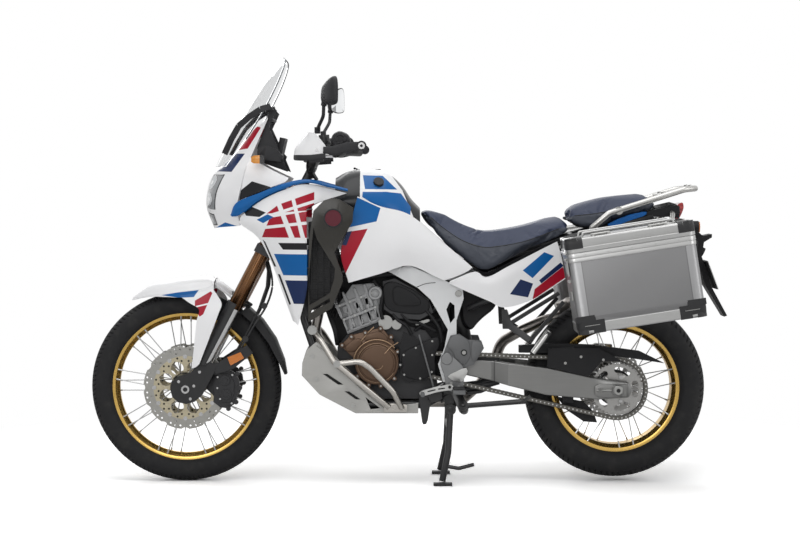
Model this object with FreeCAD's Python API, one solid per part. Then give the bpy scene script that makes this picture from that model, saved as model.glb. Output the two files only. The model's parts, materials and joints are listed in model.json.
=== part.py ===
import FreeCAD, Part
import math
import os

# Adventure motorcycle, millimetres. +X points rearward, -Y is the rider's left, +Z is up.
# The machine stands on its centre stand. The origin is on the floor, under the middle of its box.

# ---- driving dimensions -------------------------------------------------------------------
WHEELBASE = 1580.0
FRONT_AXLE_X = -821.0
REAR_AXLE_X = FRONT_AXLE_X + WHEELBASE
FRONT_TYRE_R = 350.0          # 90/90-21
REAR_TYRE_R = 333.0           # 150/70-18
STAND_LIFT = 14.0             # rear tyre above the floor on the centre stand
FRONT_AXLE_Z = FRONT_TYRE_R
REAR_AXLE_Z = REAR_TYRE_R + STAND_LIFT

RAKE = math.radians(27.5)
FORK_OFFSET = 61.4            # axle ahead of the steering axis
LEG_OFFSET = 35.0             # fork legs ahead of the steering axis
LEG_Y = 105.0                 # fork legs either side of the middle
STEM_S = (582.0, 806.0)       # heights of the two clamps along the steering axis

PIVOT_X = 138.0               # swingarm pivot
PIVOT_Z = 438.0
FRONT_SPROCKET_X = 55.0
FRONT_SPROCKET_Z = 440.0
CHAIN_Y = -92.0

PANNIER_TILT = 8.8            # degrees, nose down
PANNIER_CORNER = (588.0, 574.0)   # x, z of the lower front corner
PANNIER_LENGTH = 446.0
PANNIER_HEIGHT = 282.0
LID_HEIGHT = 50.0
PANNIER_INNER_Y = 246.0
PANNIER_OUTER_Y = 484.0
SHEET = 3.0                   # wall of the aluminium boxes
BOX_CORNER = 24.0             # radius of their upright edges
CAP_WALL = 2.5                # plastic corner caps, proud of the sheet
CAP_REACH = 33.0
CAP_HEIGHT = 60.0
LID_CAP_REACH = 38.0
PANEL = 3.5                   # wall of the plastic panels
GAP = 0.3                     # running gap between pieces that fit together

# ---- second dimensions, of wheels, stands, bars and bodywork -------------------------------
FRONT_BEAD = 266.5            # radius where the tyre sits on the rim
FRONT_RIM_HALF = 27.0
REAR_BEAD = 228.6
REAR_RIM_HALF = 50.0
AXLE_R = 12.5
FRONT_DISC_Y = 64.0
FRONT_DISC_R = 153.0
REAR_DISC_Y = 91.0
REAR_DISC_R = 128.0
SPROCKET_R = 97.5             # tip circle, clear of the chain's rollers
RISER_TOP_S = 935.0           # top of the bar clamps
BAR_S = 925.0
BAR_D = 20.0
SIDE_STAND_PIVOT = (196.0, -196.0, 296.0)
SIDE_STAND_FOLDED = (0.9963, -0.03, 0.08)
SIDE_STAND_AXIS = (0.063, 0.8915, -0.4485)
CENTRE_STAND_PIVOT = (150.0, 276.0)
CAP_X = -150.0
CAP_Z = 1138.0
CAP_R = 46.0
NOSE_ROWS = [
    # x, y, z from the middle out to the side
    [(-590, 0, 1262), (-584, 70, 1266), (-560, 118, 1296), (-512, 136, 1334)],
    [(-682, 0, 1160), (-674, 66, 1166), (-630, 126, 1184), (-572, 158, 1194)],
    [(-722, 0, 1120), (-712, 62, 1132), (-668, 128, 1134), (-590, 184, 1150)],
    [(-740, 0, 1070), (-734, 56, 1074), (-700, 126, 1066), (-606, 180, 1088)],
    [(-744, 0, 1010), (-738, 50, 1008), (-706, 112, 1000), (-622, 166, 1012)],
    [(-716, 0, 936), (-712, 44, 934), (-690, 92, 938), (-612, 150, 945)]]
LAMP_CELLS = [(2, 1), (3, 1)]
CROSSBAR_X = -500.0
CROSSBAR_Z = 1330.0
CROSSBAR_R = 6.0
RACK_SLOPE = 14.5
POD_Y = 152.0                 # outer face of the instrument pod
TRIM = 9.0                    # thickness of the shroud's top blade
MIRROR_TURN = 20.0            # degrees, in towards the rider
MIRROR_CENTRE = (-272.0, -420.8, 1415.0)
MIRROR_FOOT = (-325.0, -318.0, 1280.0)
RACK_PLATE = (128.0, 200.0)
RACK_HOLES_X = (20.0, 122.0)
RACK_HOLE_Y = 51.0


# ---- helpers ------------------------------------------------------------------------------
def vec(x, y, z):
    return FreeCAD.Vector(x, y, z)


def fork_point(s, d, y):
    """Point s along the steering axis above the axle's level and d ahead of that axis."""
    foot_x = FRONT_AXLE_X + FORK_OFFSET * math.cos(RAKE)
    foot_z = FRONT_AXLE_Z - FORK_OFFSET * math.sin(RAKE)
    return vec(foot_x + s * math.sin(RAKE) - d * math.cos(RAKE), y,
               foot_z + s * math.cos(RAKE) + d * math.sin(RAKE))


def rod(a, b, radius):
    return Part.makeCylinder(radius, (b - a).Length, a, b - a)


def cylinder_y(x, z, radius, y0, y1):
    return Part.makeCylinder(radius, y1 - y0, vec(x, y0, z), vec(0, 1, 0))


def prism_y(outline, y0, y1):
    """Side-view outline of (x, z) points, extruded from y0 to y1."""
    points = [vec(x, y0, z) for x, z in outline]
    face = Part.Face(Part.makePolygon(points + [points[0]]))
    return face.extrude(vec(0, y1 - y0, 0))


def prism_z(outline, z0, z1):
    """Plan outline of (x, y) points, extruded from z0 to z1."""
    points = [vec(x, y, z0) for x, y in outline]
    face = Part.Face(Part.makePolygon(points + [points[0]]))
    return face.extrude(vec(0, 0, z1 - z0))


def turned(profile, x, z):
    """Ring turned about an axle at (x, z) from a profile of (radius, y) points."""
    points = [vec(x, y, z + r) for r, y in profile]
    face = Part.Face(Part.makePolygon(points + [points[0]]))
    return face.revolve(vec(x, 0, z), vec(0, 1, 0), 360)


def mirrored(shape):
    return shape.mirror(vec(0, 0, 0), vec(0, 1, 0))


def both_sides(shape):
    return Part.makeCompound([shape, mirrored(shape)])


def fused(shapes):
    result = shapes[0]
    if len(shapes) > 1:
        result = shapes[0].multiFuse(shapes[1:])
    return result.removeSplitter()


def rounded_path(points, bend):
    """Straight runs joined by tangent arcs of radius bend."""
    edges = []
    start = points[0]
    for before, corner, after in zip(points, points[1:], points[2:]):
        back = (before - corner).normalize()
        ahead = (after - corner).normalize()
        half = math.acos(max(-1.0, min(1.0, back.dot(ahead)))) / 2
        trim = bend / math.tan(half)
        room = 0.45 * min((before - corner).Length, (after - corner).Length)
        radius = bend
        if trim > room:
            radius = bend * room / trim
            trim = room
        first = corner + back * trim
        last = corner + ahead * trim
        centre = corner + (back + ahead).normalize() * (radius / math.sin(half))
        middle = centre + (corner - centre).normalize() * radius
        edges.append(Part.LineSegment(start, first).toShape())
        edges.append(Part.Arc(first, middle, last).toShape())
        start = last
    edges.append(Part.LineSegment(start, points[-1]).toShape())
    return Part.Wire(edges)


def tube(points, radius, bend=60.0):
    """Round bar along points, bent at its corners."""
    points = [vec(*p) for p in points]
    if len(points) == 2:
        return rod(points[0], points[1], radius)
    path = rounded_path(points, bend)
    ring = Part.Wire(Part.makeCircle(radius, points[0], points[1] - points[0]))
    return path.makePipeShell([ring], True, False)


def beam(a, b, width, height):
    """Box-section bar from a to b: width lies across the machine, or fore and aft on a cross bar."""
    a = vec(*a)
    b = vec(*b)
    along = (b - a).normalize()
    side = vec(0, 1, 0)
    if abs(along.y) > 0.85:
        side = vec(1, 0, 0)
    side = (side - along * side.dot(along)).normalize()
    up = along.cross(side)
    corners = []
    for u, v in ((-1, -1), (1, -1), (1, 1), (-1, 1)):
        corners.append(a + side * (u * width / 2) + up * (v * height / 2))
    face = Part.Face(Part.makePolygon(corners + [corners[0]]))
    return face.extrude(b - a)


def triangle(a, b, c):
    return Part.Face(Part.makePolygon([a, b, c, a]))


def grid_normals(grid):
    rows = len(grid)
    columns = len(grid[0])
    normals = []
    for i in range(rows):
        line = []
        for j in range(columns):
            down = grid[min(i + 1, rows - 1)][j] - grid[max(i - 1, 0)][j]
            along = grid[i][min(j + 1, columns - 1)] - grid[i][max(j - 1, 0)]
            line.append(down.cross(along).normalize())
        normals.append(line)
    return normals


def skin(grid, thickness, cells=None):
    """Panel of even thickness over a grid of points; cells picks the (row, column) patches."""
    grid = [[vec(*p) for p in line] for line in grid]
    normals = grid_normals(grid)
    inner = [[p + n * thickness for p, n in zip(line, nline)] for line, nline in zip(grid, normals)]
    if cells is None:
        cells = {(i, j) for i in range(len(grid) - 1) for j in range(len(grid[0]) - 1)}
    faces = []
    for i, j in cells:
        for layer in (grid, inner):
            faces.append(triangle(layer[i][j], layer[i + 1][j], layer[i + 1][j + 1]))
            faces.append(triangle(layer[i][j], layer[i + 1][j + 1], layer[i][j + 1]))
        sides = [((i, j), (i, j + 1), (i - 1, j)), ((i + 1, j), (i + 1, j + 1), (i + 1, j)),
                 ((i, j), (i + 1, j), (i, j - 1)), ((i, j + 1), (i + 1, j + 1), (i, j + 1))]
        for a, b, neighbour in sides:
            if neighbour in cells:
                continue
            outer_a = grid[a[0]][a[1]]
            outer_b = grid[b[0]][b[1]]
            inner_a = inner[a[0]][a[1]]
            inner_b = inner[b[0]][b[1]]
            faces.append(triangle(outer_a, outer_b, inner_b))
            faces.append(triangle(outer_a, inner_b, inner_a))
    shell = Part.makeShell(faces)
    shell.sewShape()
    solid = Part.Solid(Part.Shell(shell.Faces))
    if solid.Volume < 0:
        solid.reverse()
    return solid


def sections_solid(sections):
    """Closed ruled body through cross-sections, each a list of (x, y, z) points."""
    wires = []
    for section in sections:
        points = [vec(*p) for p in section]
        wires.append(Part.makePolygon(points + [points[0]]))
    return Part.makeLoft(wires, True, True)


def full_section(x, half):
    """Closed section at x from a half outline of (y, z), listed from top middle to bottom middle."""
    left = [(x, -y, z) for y, z in half]
    right = [(x, y, z) for y, z in reversed(half) if y > 0]
    return left + right


def mirror_row(half):
    """Row of a symmetric grid from its half, listed from the middle out."""
    left = [(x, -y, z) for x, y, z in reversed(half)]
    return left + [p for p in half if p[1] > 0]


# ---- wheels -------------------------------------------------------------------------------
def tyre(x, z, outer, bead, half_width, bead_half):
    """Solid ring: crown, shoulders, sidewalls and beads."""
    side = [(outer, 0.0), (outer - 3, 0.3 * half_width), (outer - 11, 0.62 * half_width),
            (outer - 27, 0.9 * half_width), (outer - 47, half_width),
            (bead + 34, 0.94 * half_width), (bead + 14, bead_half + 5), (bead + 9.5, bead_half - 0.5),
            (bead + GAP, bead_half - 0.5)]
    profile = [(r, -y) for r, y in reversed(side[1:])] + side
    return turned(profile, x, z)


def rim(x, z, bead, half_width):
    """Wire-wheel rim: flanges, bead seats and a dropped centre, 4 mm thick."""
    well = bead - 15
    outer = [(bead + 9, half_width + 3), (bead + 9, half_width), (bead, half_width),
             (bead, half_width - 14), (well, half_width - 20)]
    inner = [(bead - 4, half_width + 3), (bead - 4, half_width - 12), (well - 4, half_width - 21)]
    ring = outer + [(r, -y) for r, y in reversed(outer)]
    ring += [(r, -y) for r, y in inner] + inner[::-1]
    return turned(ring, x, z)


def spoke_set(x, z, count, hub_r, hub_y, rim_r, rim_y, sweep, spoke_r):
    """Crossed spokes: each pair leans sweep degrees to either side on its way to the rim."""
    spokes = []
    for side in (-1, 1):
        for k in range(count):
            start = 360.0 * k / count + (0 if side < 0 else 180.0 / count)
            end = start + (sweep if k % 2 else -sweep)
            a = math.radians(start)
            b = math.radians(end)
            p = vec(x + hub_r * math.cos(a), side * hub_y, z + hub_r * math.sin(a))
            q = vec(x + rim_r * math.cos(b), side * rim_y, z + rim_r * math.sin(b))
            spokes.append(rod(p, q, spoke_r))
    return spokes


def brake_disc(x, z, y, outer, thickness, scallops, carrier_r, hub_r):
    """Petal disc with drilled band, on a spidered carrier."""
    y0 = y - thickness / 2
    y1 = y + thickness / 2
    disc = cylinder_y(x, z, outer, y0, y1)
    cuts = []
    for k in range(scallops):
        a = 2 * math.pi * k / scallops
        cuts.append(cylinder_y(x + (outer + 14) * math.cos(a), z + (outer + 14) * math.sin(a),
                               20.0, y0 - 1, y1 + 1))
        for step, radius in ((0.25, outer - 12), (0.5, outer - 9), (0.75, outer - 12), (0.5, outer - 26)):
            b = a + step * 2 * math.pi / scallops
            cuts.append(cylinder_y(x + radius * math.cos(b), z + radius * math.sin(b),
                                   3.6, y0 - 1, y1 + 1))
    windows = 8
    for k in range(windows):
        b = 2 * math.pi * (k + 0.5) / windows
        middle = (carrier_r + hub_r) / 2
        cuts.append(cylinder_y(x + middle * math.cos(b), z + middle * math.sin(b),
                               0.27 * (carrier_r - hub_r) + 4, y0 - 1, y1 + 1))
    cuts.append(cylinder_y(x, z, hub_r, y0 - 1, y1 + 1))
    return disc.cut(cuts)


def front_wheel():
    x = FRONT_AXLE_X
    z = FRONT_AXLE_Z
    rubber = tyre(x, z, FRONT_TYRE_R, FRONT_BEAD, 46.0, FRONT_RIM_HALF)
    alloy = rim(x, z, FRONT_BEAD, FRONT_RIM_HALF)
    hub_half = [(AXLE_R + GAP, 60.0), (38.0, 60.0), (38.0, 45.0), (46.0, 42.0), (46.0, 36.0), (28.0, 30.0)]
    profile = hub_half + [(r, -y) for r, y in reversed(hub_half)]
    hub = turned(profile, x, z)
    spokes = spoke_set(x, z, 18, 40.0, 39.0, FRONT_BEAD - 20.5, 7.0, 24.0, 2.0)
    hub = fused([hub] + spokes)
    discs = []
    for y in (-FRONT_DISC_Y, FRONT_DISC_Y):
        disc = brake_disc(x, z, y, FRONT_DISC_R, 5.0, 12, 112.0, 40.0)
        side = 1 if y > 0 else -1
        boss_y = sorted((y - side * 2.5, side * 60.0))
        boss = cylinder_y(x, z, 52.0, boss_y[0], boss_y[1]).cut(cylinder_y(x, z, 39.0, -100, 100))
        discs.append(fused([disc, boss]))
    return {"front_tyre": rubber, "front_rim": alloy, "front_hub": hub,
            "front_discs": Part.makeCompound(discs)}


def rear_sprocket(x, z):
    """Toothed ring on a spidered plate, with long slots."""
    teeth = 42
    points = []
    for k in range(teeth):
        for step, radius in ((0.0, SPROCKET_R - 6), (0.3, SPROCKET_R - 5), (0.42, SPROCKET_R),
                             (0.58, SPROCKET_R), (0.7, SPROCKET_R - 5)):
            a = 2 * math.pi * (k + step) / teeth
            points.append((x + radius * math.cos(a), z + radius * math.sin(a)))
    plate = prism_y(points, CHAIN_Y - 3.5, CHAIN_Y + 3.5)
    cuts = [cylinder_y(x, z, 32.0, -120, -60)]
    for k in range(5):
        for step in (-0.28, -0.14, 0.0, 0.14, 0.28):
            a = 2 * math.pi * k / 5 + step
            cuts.append(cylinder_y(x + 70 * math.cos(a), z + 70 * math.sin(a), 11.0, -120, -60))
    return plate.cut(cuts)


def rear_wheel():
    x = REAR_AXLE_X
    z = REAR_AXLE_Z
    rubber = tyre(x, z, REAR_TYRE_R, REAR_BEAD, 75.0, REAR_RIM_HALF)
    alloy = rim(x, z, REAR_BEAD, REAR_RIM_HALF)
    bore = AXLE_R + GAP
    hub = turned([(bore, -88.0), (50.0, -88.0), (60.0, -70.0), (60.0, -44.0), (66.0, -42.0), (66.0, -36.0),
                  (36.0, -30.0), (36.0, 30.0), (56.0, 36.0), (56.0, 42.0), (44.0, 46.0), (44.0, 88.0),
                  (bore, 88.0)], x, z)
    spokes = spoke_set(x, z, 16, 53.0, 39.0, REAR_BEAD - 20.5, 26.0, 26.0, 2.2)
    hub = fused([hub] + spokes)
    disc = brake_disc(x, z, REAR_DISC_Y, REAR_DISC_R, 5.0, 10, 96.0, 36.0)
    return {"rear_tyre": rubber, "rear_rim": alloy, "rear_hub": hub, "rear_disc": disc,
            "rear_sprocket": rear_sprocket(x, z)}


# ---- fork and steering ----------------------------------------------------------------------
def fork_tubes():
    """Gold upper tubes, from above the top clamp down to the seals."""
    return both_sides(rod(fork_point(345, LEG_OFFSET, -LEG_Y), fork_point(842, LEG_OFFSET, -LEG_Y), 27.0))


def fork_outline(points, y0, y1):
    """Outline of (s, d) points beside the steering axis, extruded from y0 to y1."""
    corners = [fork_point(s, d, y0) for s, d in points]
    face = Part.Face(Part.makePolygon(corners + [corners[0]]))
    return face.extrude(vec(0, y1 - y0, 0))


def triple_clamps():
    """Stem and the two clamps that hold the fork tubes, with the risers of the handlebar."""
    pieces = [rod(fork_point(STEM_S[0], 0, 0), fork_point(STEM_S[1], 0, 0), 16.0)]
    for s in STEM_S:
        block = fork_outline([(s - 15, -26), (s - 15, 66), (s + 15, 66), (s + 15, -26)],
                             -LEG_Y - 36, LEG_Y + 36)
        corner_cuts = []
        for side in (-1, 1):
            wedge = [fork_point(s - 20, -30, side * 40), fork_point(s - 20, -30, side * 150),
                     fork_point(s - 20, 8, side * 150)]
            face = Part.Face(Part.makePolygon(wedge + [wedge[0]]))
            corner_cuts.append(face.extrude(fork_point(s + 20, 0, 0) - fork_point(s - 20, 0, 0)))
        pieces.append(block.cut(corner_cuts))
    for side in (-1, 1):
        pieces.append(rod(fork_point(STEM_S[1] + 10, 20, side * 45), fork_point(RISER_TOP_S, 20, side * 45),
                          15.0))
    body = fused(pieces)
    bores = [rod(fork_point(300, LEG_OFFSET, side * LEG_Y), fork_point(900, LEG_OFFSET, side * LEG_Y),
                 27.0 + GAP)
             for side in (-1, 1)]
    bar = rod(fork_point(BAR_S, BAR_D, -120), fork_point(BAR_S, BAR_D, 120), 14.0 + GAP)
    return body.cut(bores + [bar])


def bar_points():
    centre = fork_point(BAR_S, BAR_D, 0)
    cx = centre.x
    cz = centre.z
    half = [(cx, 110.0, cz), (cx + 25, 190.0, cz + 60), (cx + 90, 340.0, cz + 70), (cx + 168, 462.0, cz + 68)]
    return [(x, -y, z) for x, y, z in reversed(half)] + half


def handlebar():
    """Tapered bar with grips, brake and clutch perches, levers and switch blocks."""
    points = bar_points()
    pieces = [tube(points, 12.0, 90.0)]
    centre = fork_point(BAR_S, BAR_D, 0)
    pieces.append(rod(vec(centre.x, -80, centre.z), vec(centre.x, 80, centre.z), 14.0))
    for side in (-1, 1):
        outer = vec(points[-1][0], side * points[-1][1], points[-1][2])
        knee = vec(points[-2][0], side * points[-2][1], points[-2][2])
        along = (outer - knee).normalize()
        pieces.append(rod(outer - along * 125, outer, 17.0))
        pieces.append(rod(outer - along * 165, outer - along * 128, 25.0))
        perch = outer - along * 185
        lever_root = perch + vec(-42, 0, -8)
        pieces.append(rod(perch, lever_root, 13.0))
        pieces.append(rod(lever_root, lever_root + vec(54, side * 134, -4), 6.0))
        pieces.append(rod(perch + vec(-12, 0, 6), perch + vec(-14, 0, 48), 19.0))
    return fused(pieces)


def mirrors():
    """Domed mirror heads, turned in towards the rider, on cranked stalks that stand on the perches."""
    a = math.radians(MIRROR_TURN)
    across = vec(-math.sin(a), math.cos(a), 0)
    back = vec(-math.cos(a), -math.sin(a), 0)
    centre = vec(*MIRROR_CENTRE)
    outline = [(62, -40), (70, -10), (52, 26), (-8, 48), (-50, 54), (-70, 34), (-73, -18), (-62, -40), (0,
                                                                                                        -46)]
    sections = []
    for depth, scale in ((0.0, 0.96), (4.0, 1.0), (14.0, 0.93), (24.0, 0.72), (30.0, 0.4)):
        ring = []
        for u, w in outline:
            p = centre + across * (u * scale) + vec(0, 0, w * scale) + back * depth
            ring.append((p.x, p.y, p.z))
        sections.append(ring)
    elbow = vec(-303, -372, 1330)
    joint = centre + across * 46 + vec(0, 0, -32) + back * 14
    stalk = [rod(vec(*MIRROR_FOOT), elbow, 6.0), rod(elbow, joint, 6.0), Part.makeSphere(6.0, elbow)]
    return both_sides(fused([sections_solid(sections)] + stalk))


def handguards():
    """Wedge-shaped shells ahead of the grips, each on an arm that runs back to the bar's end."""
    # columns: z, rear x, front x, inner x
    stations = [(1275, -332, -359, -350), (1250, -309, -377, -368), (1222, -288, -399, -388),
                (1197, -280, -404, -394)]
    rows = []
    for z, tail, front, inner in stations:
        rows.append([(inner + 6, -326, z), (inner, -344, z), (front, -400, z), (front + 8, -446, z),
                     (0.4 * tail + 0.6 * front, -470, z), (tail, -475, z)])
    end = bar_points()[-1]
    arm = beam((-296, -479, 1213), (end[0], -479, end[2]), 7.0, 30.0)
    boss = cylinder_y(end[0], end[2], 17.0, -485.0, -473.0)
    return both_sides(fused([skin(rows, PANEL), arm, boss]))


def fork_legs():
    """Bright inner tubes, lower castings round the axle, guards ahead of the tubes, and the axle."""
    pieces = []
    leg = rod(fork_point(70, LEG_OFFSET, -LEG_Y), fork_point(345 - GAP, LEG_OFFSET, -LEG_Y), 22.5)
    casting = fork_outline([(-34, 34), (-26, 84), (30, 92), (72, 62), (112, 66), (112, 8), (40, 6), (0, 14)],
                           -LEG_Y - 25, -LEG_Y + 22)
    guard = Part.makeCylinder(33, 252, fork_point(112, LEG_OFFSET, -LEG_Y),
                              fork_point(400, LEG_OFFSET, -LEG_Y) - fork_point(100, LEG_OFFSET, -LEG_Y))
    guard = guard.cut(Part.makeCylinder(29, 260, fork_point(108, LEG_OFFSET, -LEG_Y),
                                        fork_point(400, LEG_OFFSET, -LEG_Y) - fork_point(100, LEG_OFFSET,
                                                                                         -LEG_Y)))
    behind = fork_outline([(90, LEG_OFFSET - 4), (400, LEG_OFFSET - 4), (400, -20), (90, -20)], -160, -50)
    guard = guard.cut(behind)
    leg_piece = fused([leg, casting, guard])
    axle_hole = cylinder_y(FRONT_AXLE_X, FRONT_AXLE_Z, AXLE_R + GAP, -200, 200)
    leg_piece = leg_piece.cut(axle_hole)
    pieces = [leg_piece, mirrored(leg_piece)]
    axle = cylinder_y(FRONT_AXLE_X, FRONT_AXLE_Z, AXLE_R, -136, 136)
    axle = axle.cut(cylinder_y(FRONT_AXLE_X, FRONT_AXLE_Z, 8.0, -140, 140))
    pieces.append(axle)
    return Part.makeCompound(pieces)


def front_fender():
    """Beaked fender: a hood with side walls over the tyre, a narrow tail between the fork tubes, and
    a blade down the outside of each fork guard."""
    # columns: x, crown z, crease y, crease z, edge z
    stations = [(-1018, 679, 16, 677, 673), (-948, 725, 56, 694, 683), (-885, 741, 86, 700, 684),
                (-824, 751, 101, 709, 684), (-746, 757, 107, 720, 700), (-712, 748, 107, 732, 712),
                (-700, 742, 68, 729, 716), (-650, 703, 66, 688, 676)]
    rows = []
    for x, crown, y, z, edge in stations:
        rows.append(mirror_row([(x, 0.0, crown), (x, 0.55 * y, crown - 0.15 * (crown - z)), (x, y, z),
                                (x, y + 3, edge)]))
    blade_rows = [[(-832, -109, 683), (-772, -112, 694), (-716, -112, 708)],
                  [(-800, -115, 664), (-746, -119, 676), (-697, -124, 692)],
                  [(-764, -124, 640), (-722, -130, 650), (-681, -135, 662)],
                  [(-772, -132, 598), (-731, -138, 606), (-692, -141, 626)],
                  [(-781, -137, 512), (-752, -140, 515), (-729, -142, 528)],
                  [(-790, -138, 427), (-775, -140, 432), (-762, -141, 443)]]
    blade = skin(blade_rows, PANEL)
    return Part.makeCompound([skin(rows, PANEL), blade, mirrored(blade)])


def front_brakes():
    """Two calipers straddling the discs, each on a plate inside its fork casting."""
    body = prism_y([(-722, 392), (-700, 410), (-655, 400), (-634, 362), (-637, 300), (-655, 284),
                    (-690, 292), (-712, 330)], -98.0, -50.0)
    slot = cylinder_y(FRONT_AXLE_X, FRONT_AXLE_Z, FRONT_DISC_R + 8, -FRONT_DISC_Y - 7.5, -FRONT_DISC_Y + 7.5)
    plate = prism_y([(-768, 372), (-742, 420), (-700, 408), (-690, 300), (-712, 318)], -82.5, -74.0)
    caliper = fused([body.cut(slot), plate])
    return both_sides(caliper)


def front_mudflap():
    """Black flap behind the front wheel, curved round the tyre, on a peg to each fork tube."""
    # columns: angle round the axle, half width, depth of the side skirt
    stations = [(7, 36, 4), (15, 55, 16), (28, 60, 24), (41, 60, 28), (53, 60, 28)]
    radius = FRONT_TYRE_R + 24.0
    rows = []
    for degrees, half, skirt in stations:
        a = math.radians(degrees)
        row = []
        for r, y in ((radius, 0.0), (radius, 0.75 * half), (radius - 4, half), (radius - skirt - 4,
                                                                                half + 1.5)):
            row.append((FRONT_AXLE_X + r * math.cos(a), y, FRONT_AXLE_Z + r * math.sin(a)))
        rows.append(mirror_row(row))
    pegs = []
    for side in (-1, 1):
        peg = rod(vec(-586, side * 57, 646), vec(-620, side * 94, 664), 6.0)
        pegs.append(peg.cut(rod(fork_point(300, LEG_OFFSET, side * LEG_Y), fork_point(420, LEG_OFFSET,
                                                                                      side * LEG_Y),
                                27.0 + GAP)))
    return fused([skin(rows, PANEL)] + pegs)


def brake_hoses():
    """Hoses from the calipers up behind the fork tubes to the lower clamp."""
    path = [(-678, -88, 407), (-640, -88, 470), (-588, -88, 560), (-548, -84, 640), (-520, -76, 720),
            (-516, -66, 780), (-527, -58, 817)]
    return both_sides(tube(path, 4.5, 40.0))


# ---- frame ----------------------------------------------------------------------------------
def main_frame():
    """Steering head, two spars, side plates round the swingarm pivot, and the cradle tubes."""
    head = rod(fork_point(STEM_S[0] + 24, 0, 0), fork_point(STEM_S[1] - 24, 0, 0), 31.0)
    plate = prism_y([(-72, 777), (-3, 801), (128, 746), (194, 716), (198, 680), (172, 600), (172, 500),
                     (190, 430), (185, 330), (128, 330), (125, 369), (105, 440), (128, 500), (141, 567),
                     (78, 676), (31, 719)], -124.0, -112.0)
    window = prism_y([(135, 640), (148, 668), (165, 655), (166, 610), (150, 590)], -130.0, -100.0)
    plate = plate.cut(window)
    spar = beam((-30, -112, 790), (-360, -40, 940), 34.0, 60.0)
    half_head = beam((-350, -52, 935), (-430, -14, 950), 34.0, 66.0)
    down = tube([(-418, -30, 905), (-398, -52, 800), (-384, -76, 600), (-322, -98, 420), (-215, -98, 292),
                 (60, -98, 290), (150, -106, 345)], 14.0, 60.0)
    side = fused([plate, spar, half_head, down])
    tie = cylinder_y(150, 345, 16.0, -112.0, 112.0)
    upper_tie = cylinder_y(70, 745, 14.0, -112.0, 112.0)
    frame = fused([head, side, mirrored(side), tie, upper_tie])
    px, pz = CENTRE_STAND_PIVOT
    stand_ear = prism_y([(128, 340), (178, 340), (px + 20, pz - 4), (px, pz - 18), (px - 20, pz - 4)],
                        -114.0, -102.0)
    stand_bolt = cylinder_y(px, pz, 10.0, -143.0, -103.0)
    ear = fused([stand_ear, stand_bolt])
    root = vec(*SIDE_STAND_PIVOT)
    axis = vec(*SIDE_STAND_AXIS)
    side_bolt = rod(root - axis * 22, root + axis * 44, 7.0)
    side_arm = beam(tuple(root + axis * 42), (166, -116, 350), 14.0, 36.0)
    side_lug = rod(root + axis * 12, root + axis * 46, 16.0)
    frame = fused([frame, ear, mirrored(ear), side_bolt, side_arm, side_lug])
    bore = rod(fork_point(500, 0, 0), fork_point(900, 0, 0), 16.0 + GAP)
    clear = rod(fork_point(STEM_S[0] - 40, 0, 0), fork_point(STEM_S[0] + 18, 0, 0), 60.0)
    return frame.cut([bore, clear])


def subframe():
    """Rear subframe tubes, the shock absorber and the underseat tray."""
    top = tube([(85, -92, 770), (330, -95, 838), (600, -96, 905), (890, -84, 980)], 13.0, 120.0)
    low = tube([(210, -100, 640), (430, -98, 735), (640, -96, 899)], 11.0, 100.0)
    side = fused([top, low])
    cross = [cylinder_y(330, 838, 11.0, -95, 95), cylinder_y(600, 905, 11.0, -96, 96),
             cylinder_y(876, 976, 10.0, -84, 84)]
    tray = prism_y([(340, 826), (890, 966), (890, 958), (340, 818)], -80.0, 80.0)
    shock = rod(vec(205, 0, 480), vec(160, 0, 700), 36.0)
    rod_end = rod(vec(214, 0, 436), vec(205, 0, 480), 11.0)
    eye = rod(vec(160, 0, 700), vec(152, 0, 740), 15.0)
    frame = fused([side, mirrored(side)] + cross + [tray])
    return Part.makeCompound([frame, fused([shock, rod_end, eye])])


def engine_block():
    """Crankcase with the gearbox behind it, kept as one plain mass, and the intake box above."""
    case = prism_y([(-236, 380), (-262, 450), (-262, 500), (-224, 548), (-95, 600), (60, 560), (104, 500),
                    (86, 440), (104, 372), (104, 318), (40, 310), (-160, 310)], -80.0, 80.0)
    intake = prism_y([(-96, 742), (-52, 752), (20, 712), (70, 676), (88, 628), (40, 602), (-40, 606),
                      (-92, 640)], -104.0, 104.0)
    outlet = cylinder_y(FRONT_SPROCKET_X, FRONT_SPROCKET_Z, 26.0, -82.0, -79.0)
    return fused([case, intake, outlet])


def cylinder_head():
    """Slanted twin-cylinder block and head with its ribs and cover."""
    block = prism_y([(-224 - GAP, 549), (-95, 600.5), (-110, 640), (-246, 604)], -96.0, 96.0)
    head = prism_y([(-248, 606), (-108, 643), (-102, 700), (-128, 736), (-208, 728), (-262, 652)], -106.0,
                   106.0)
    ribs = []
    for start in (0.12, 0.38, 0.64, 0.88):
        x = -224 + 129 * start
        z = 552 + 50 * start
        ribs.append(prism_y([(x - 5, z + 6), (x + 5, z + 9), (x - 14, z + 120), (x - 24, z + 116)], -112.0,
                            112.0))
    boss = cylinder_y(-118, 706, 20.0, -114.0, 114.0)
    return fused([block, head, boss] + ribs)


def engine_covers():
    """Generator cover on the left, clutch cover on the right, and their upper chain covers."""
    x = -118.0
    z = 446.0
    low = cylinder_y(x, z, 80.0, -126.0, -80.0)
    step = cylinder_y(x, z, 66.0, -136.0, -126.0)
    cap = cylinder_y(x, z, 26.0, -140.0, -136.0)
    upper = prism_y([(-250, 508), (-212, 545), (-100, 574), (-56, 520), (-60, 440), (-180, 440)], -112.0,
                    -80.0)
    left = fused([low, step, cap, upper])
    right = fused([cylinder_y(-60, 440, 88.0, 80.0, 122.0), cylinder_y(-60, 440, 60.0, 122.0, 132.0),
                   prism_y([(-235, 470), (-200, 530), (-100, 560), (-60, 500)], 80.0, 108.0)])
    lid = prism_y([(-20, 560), (48, 520), (70, 486), (60, 402), (0, 372), (-30, 390), (-36, 500)], -110.0,
                  -104.0)
    return Part.makeCompound([left, right, lid])


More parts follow.
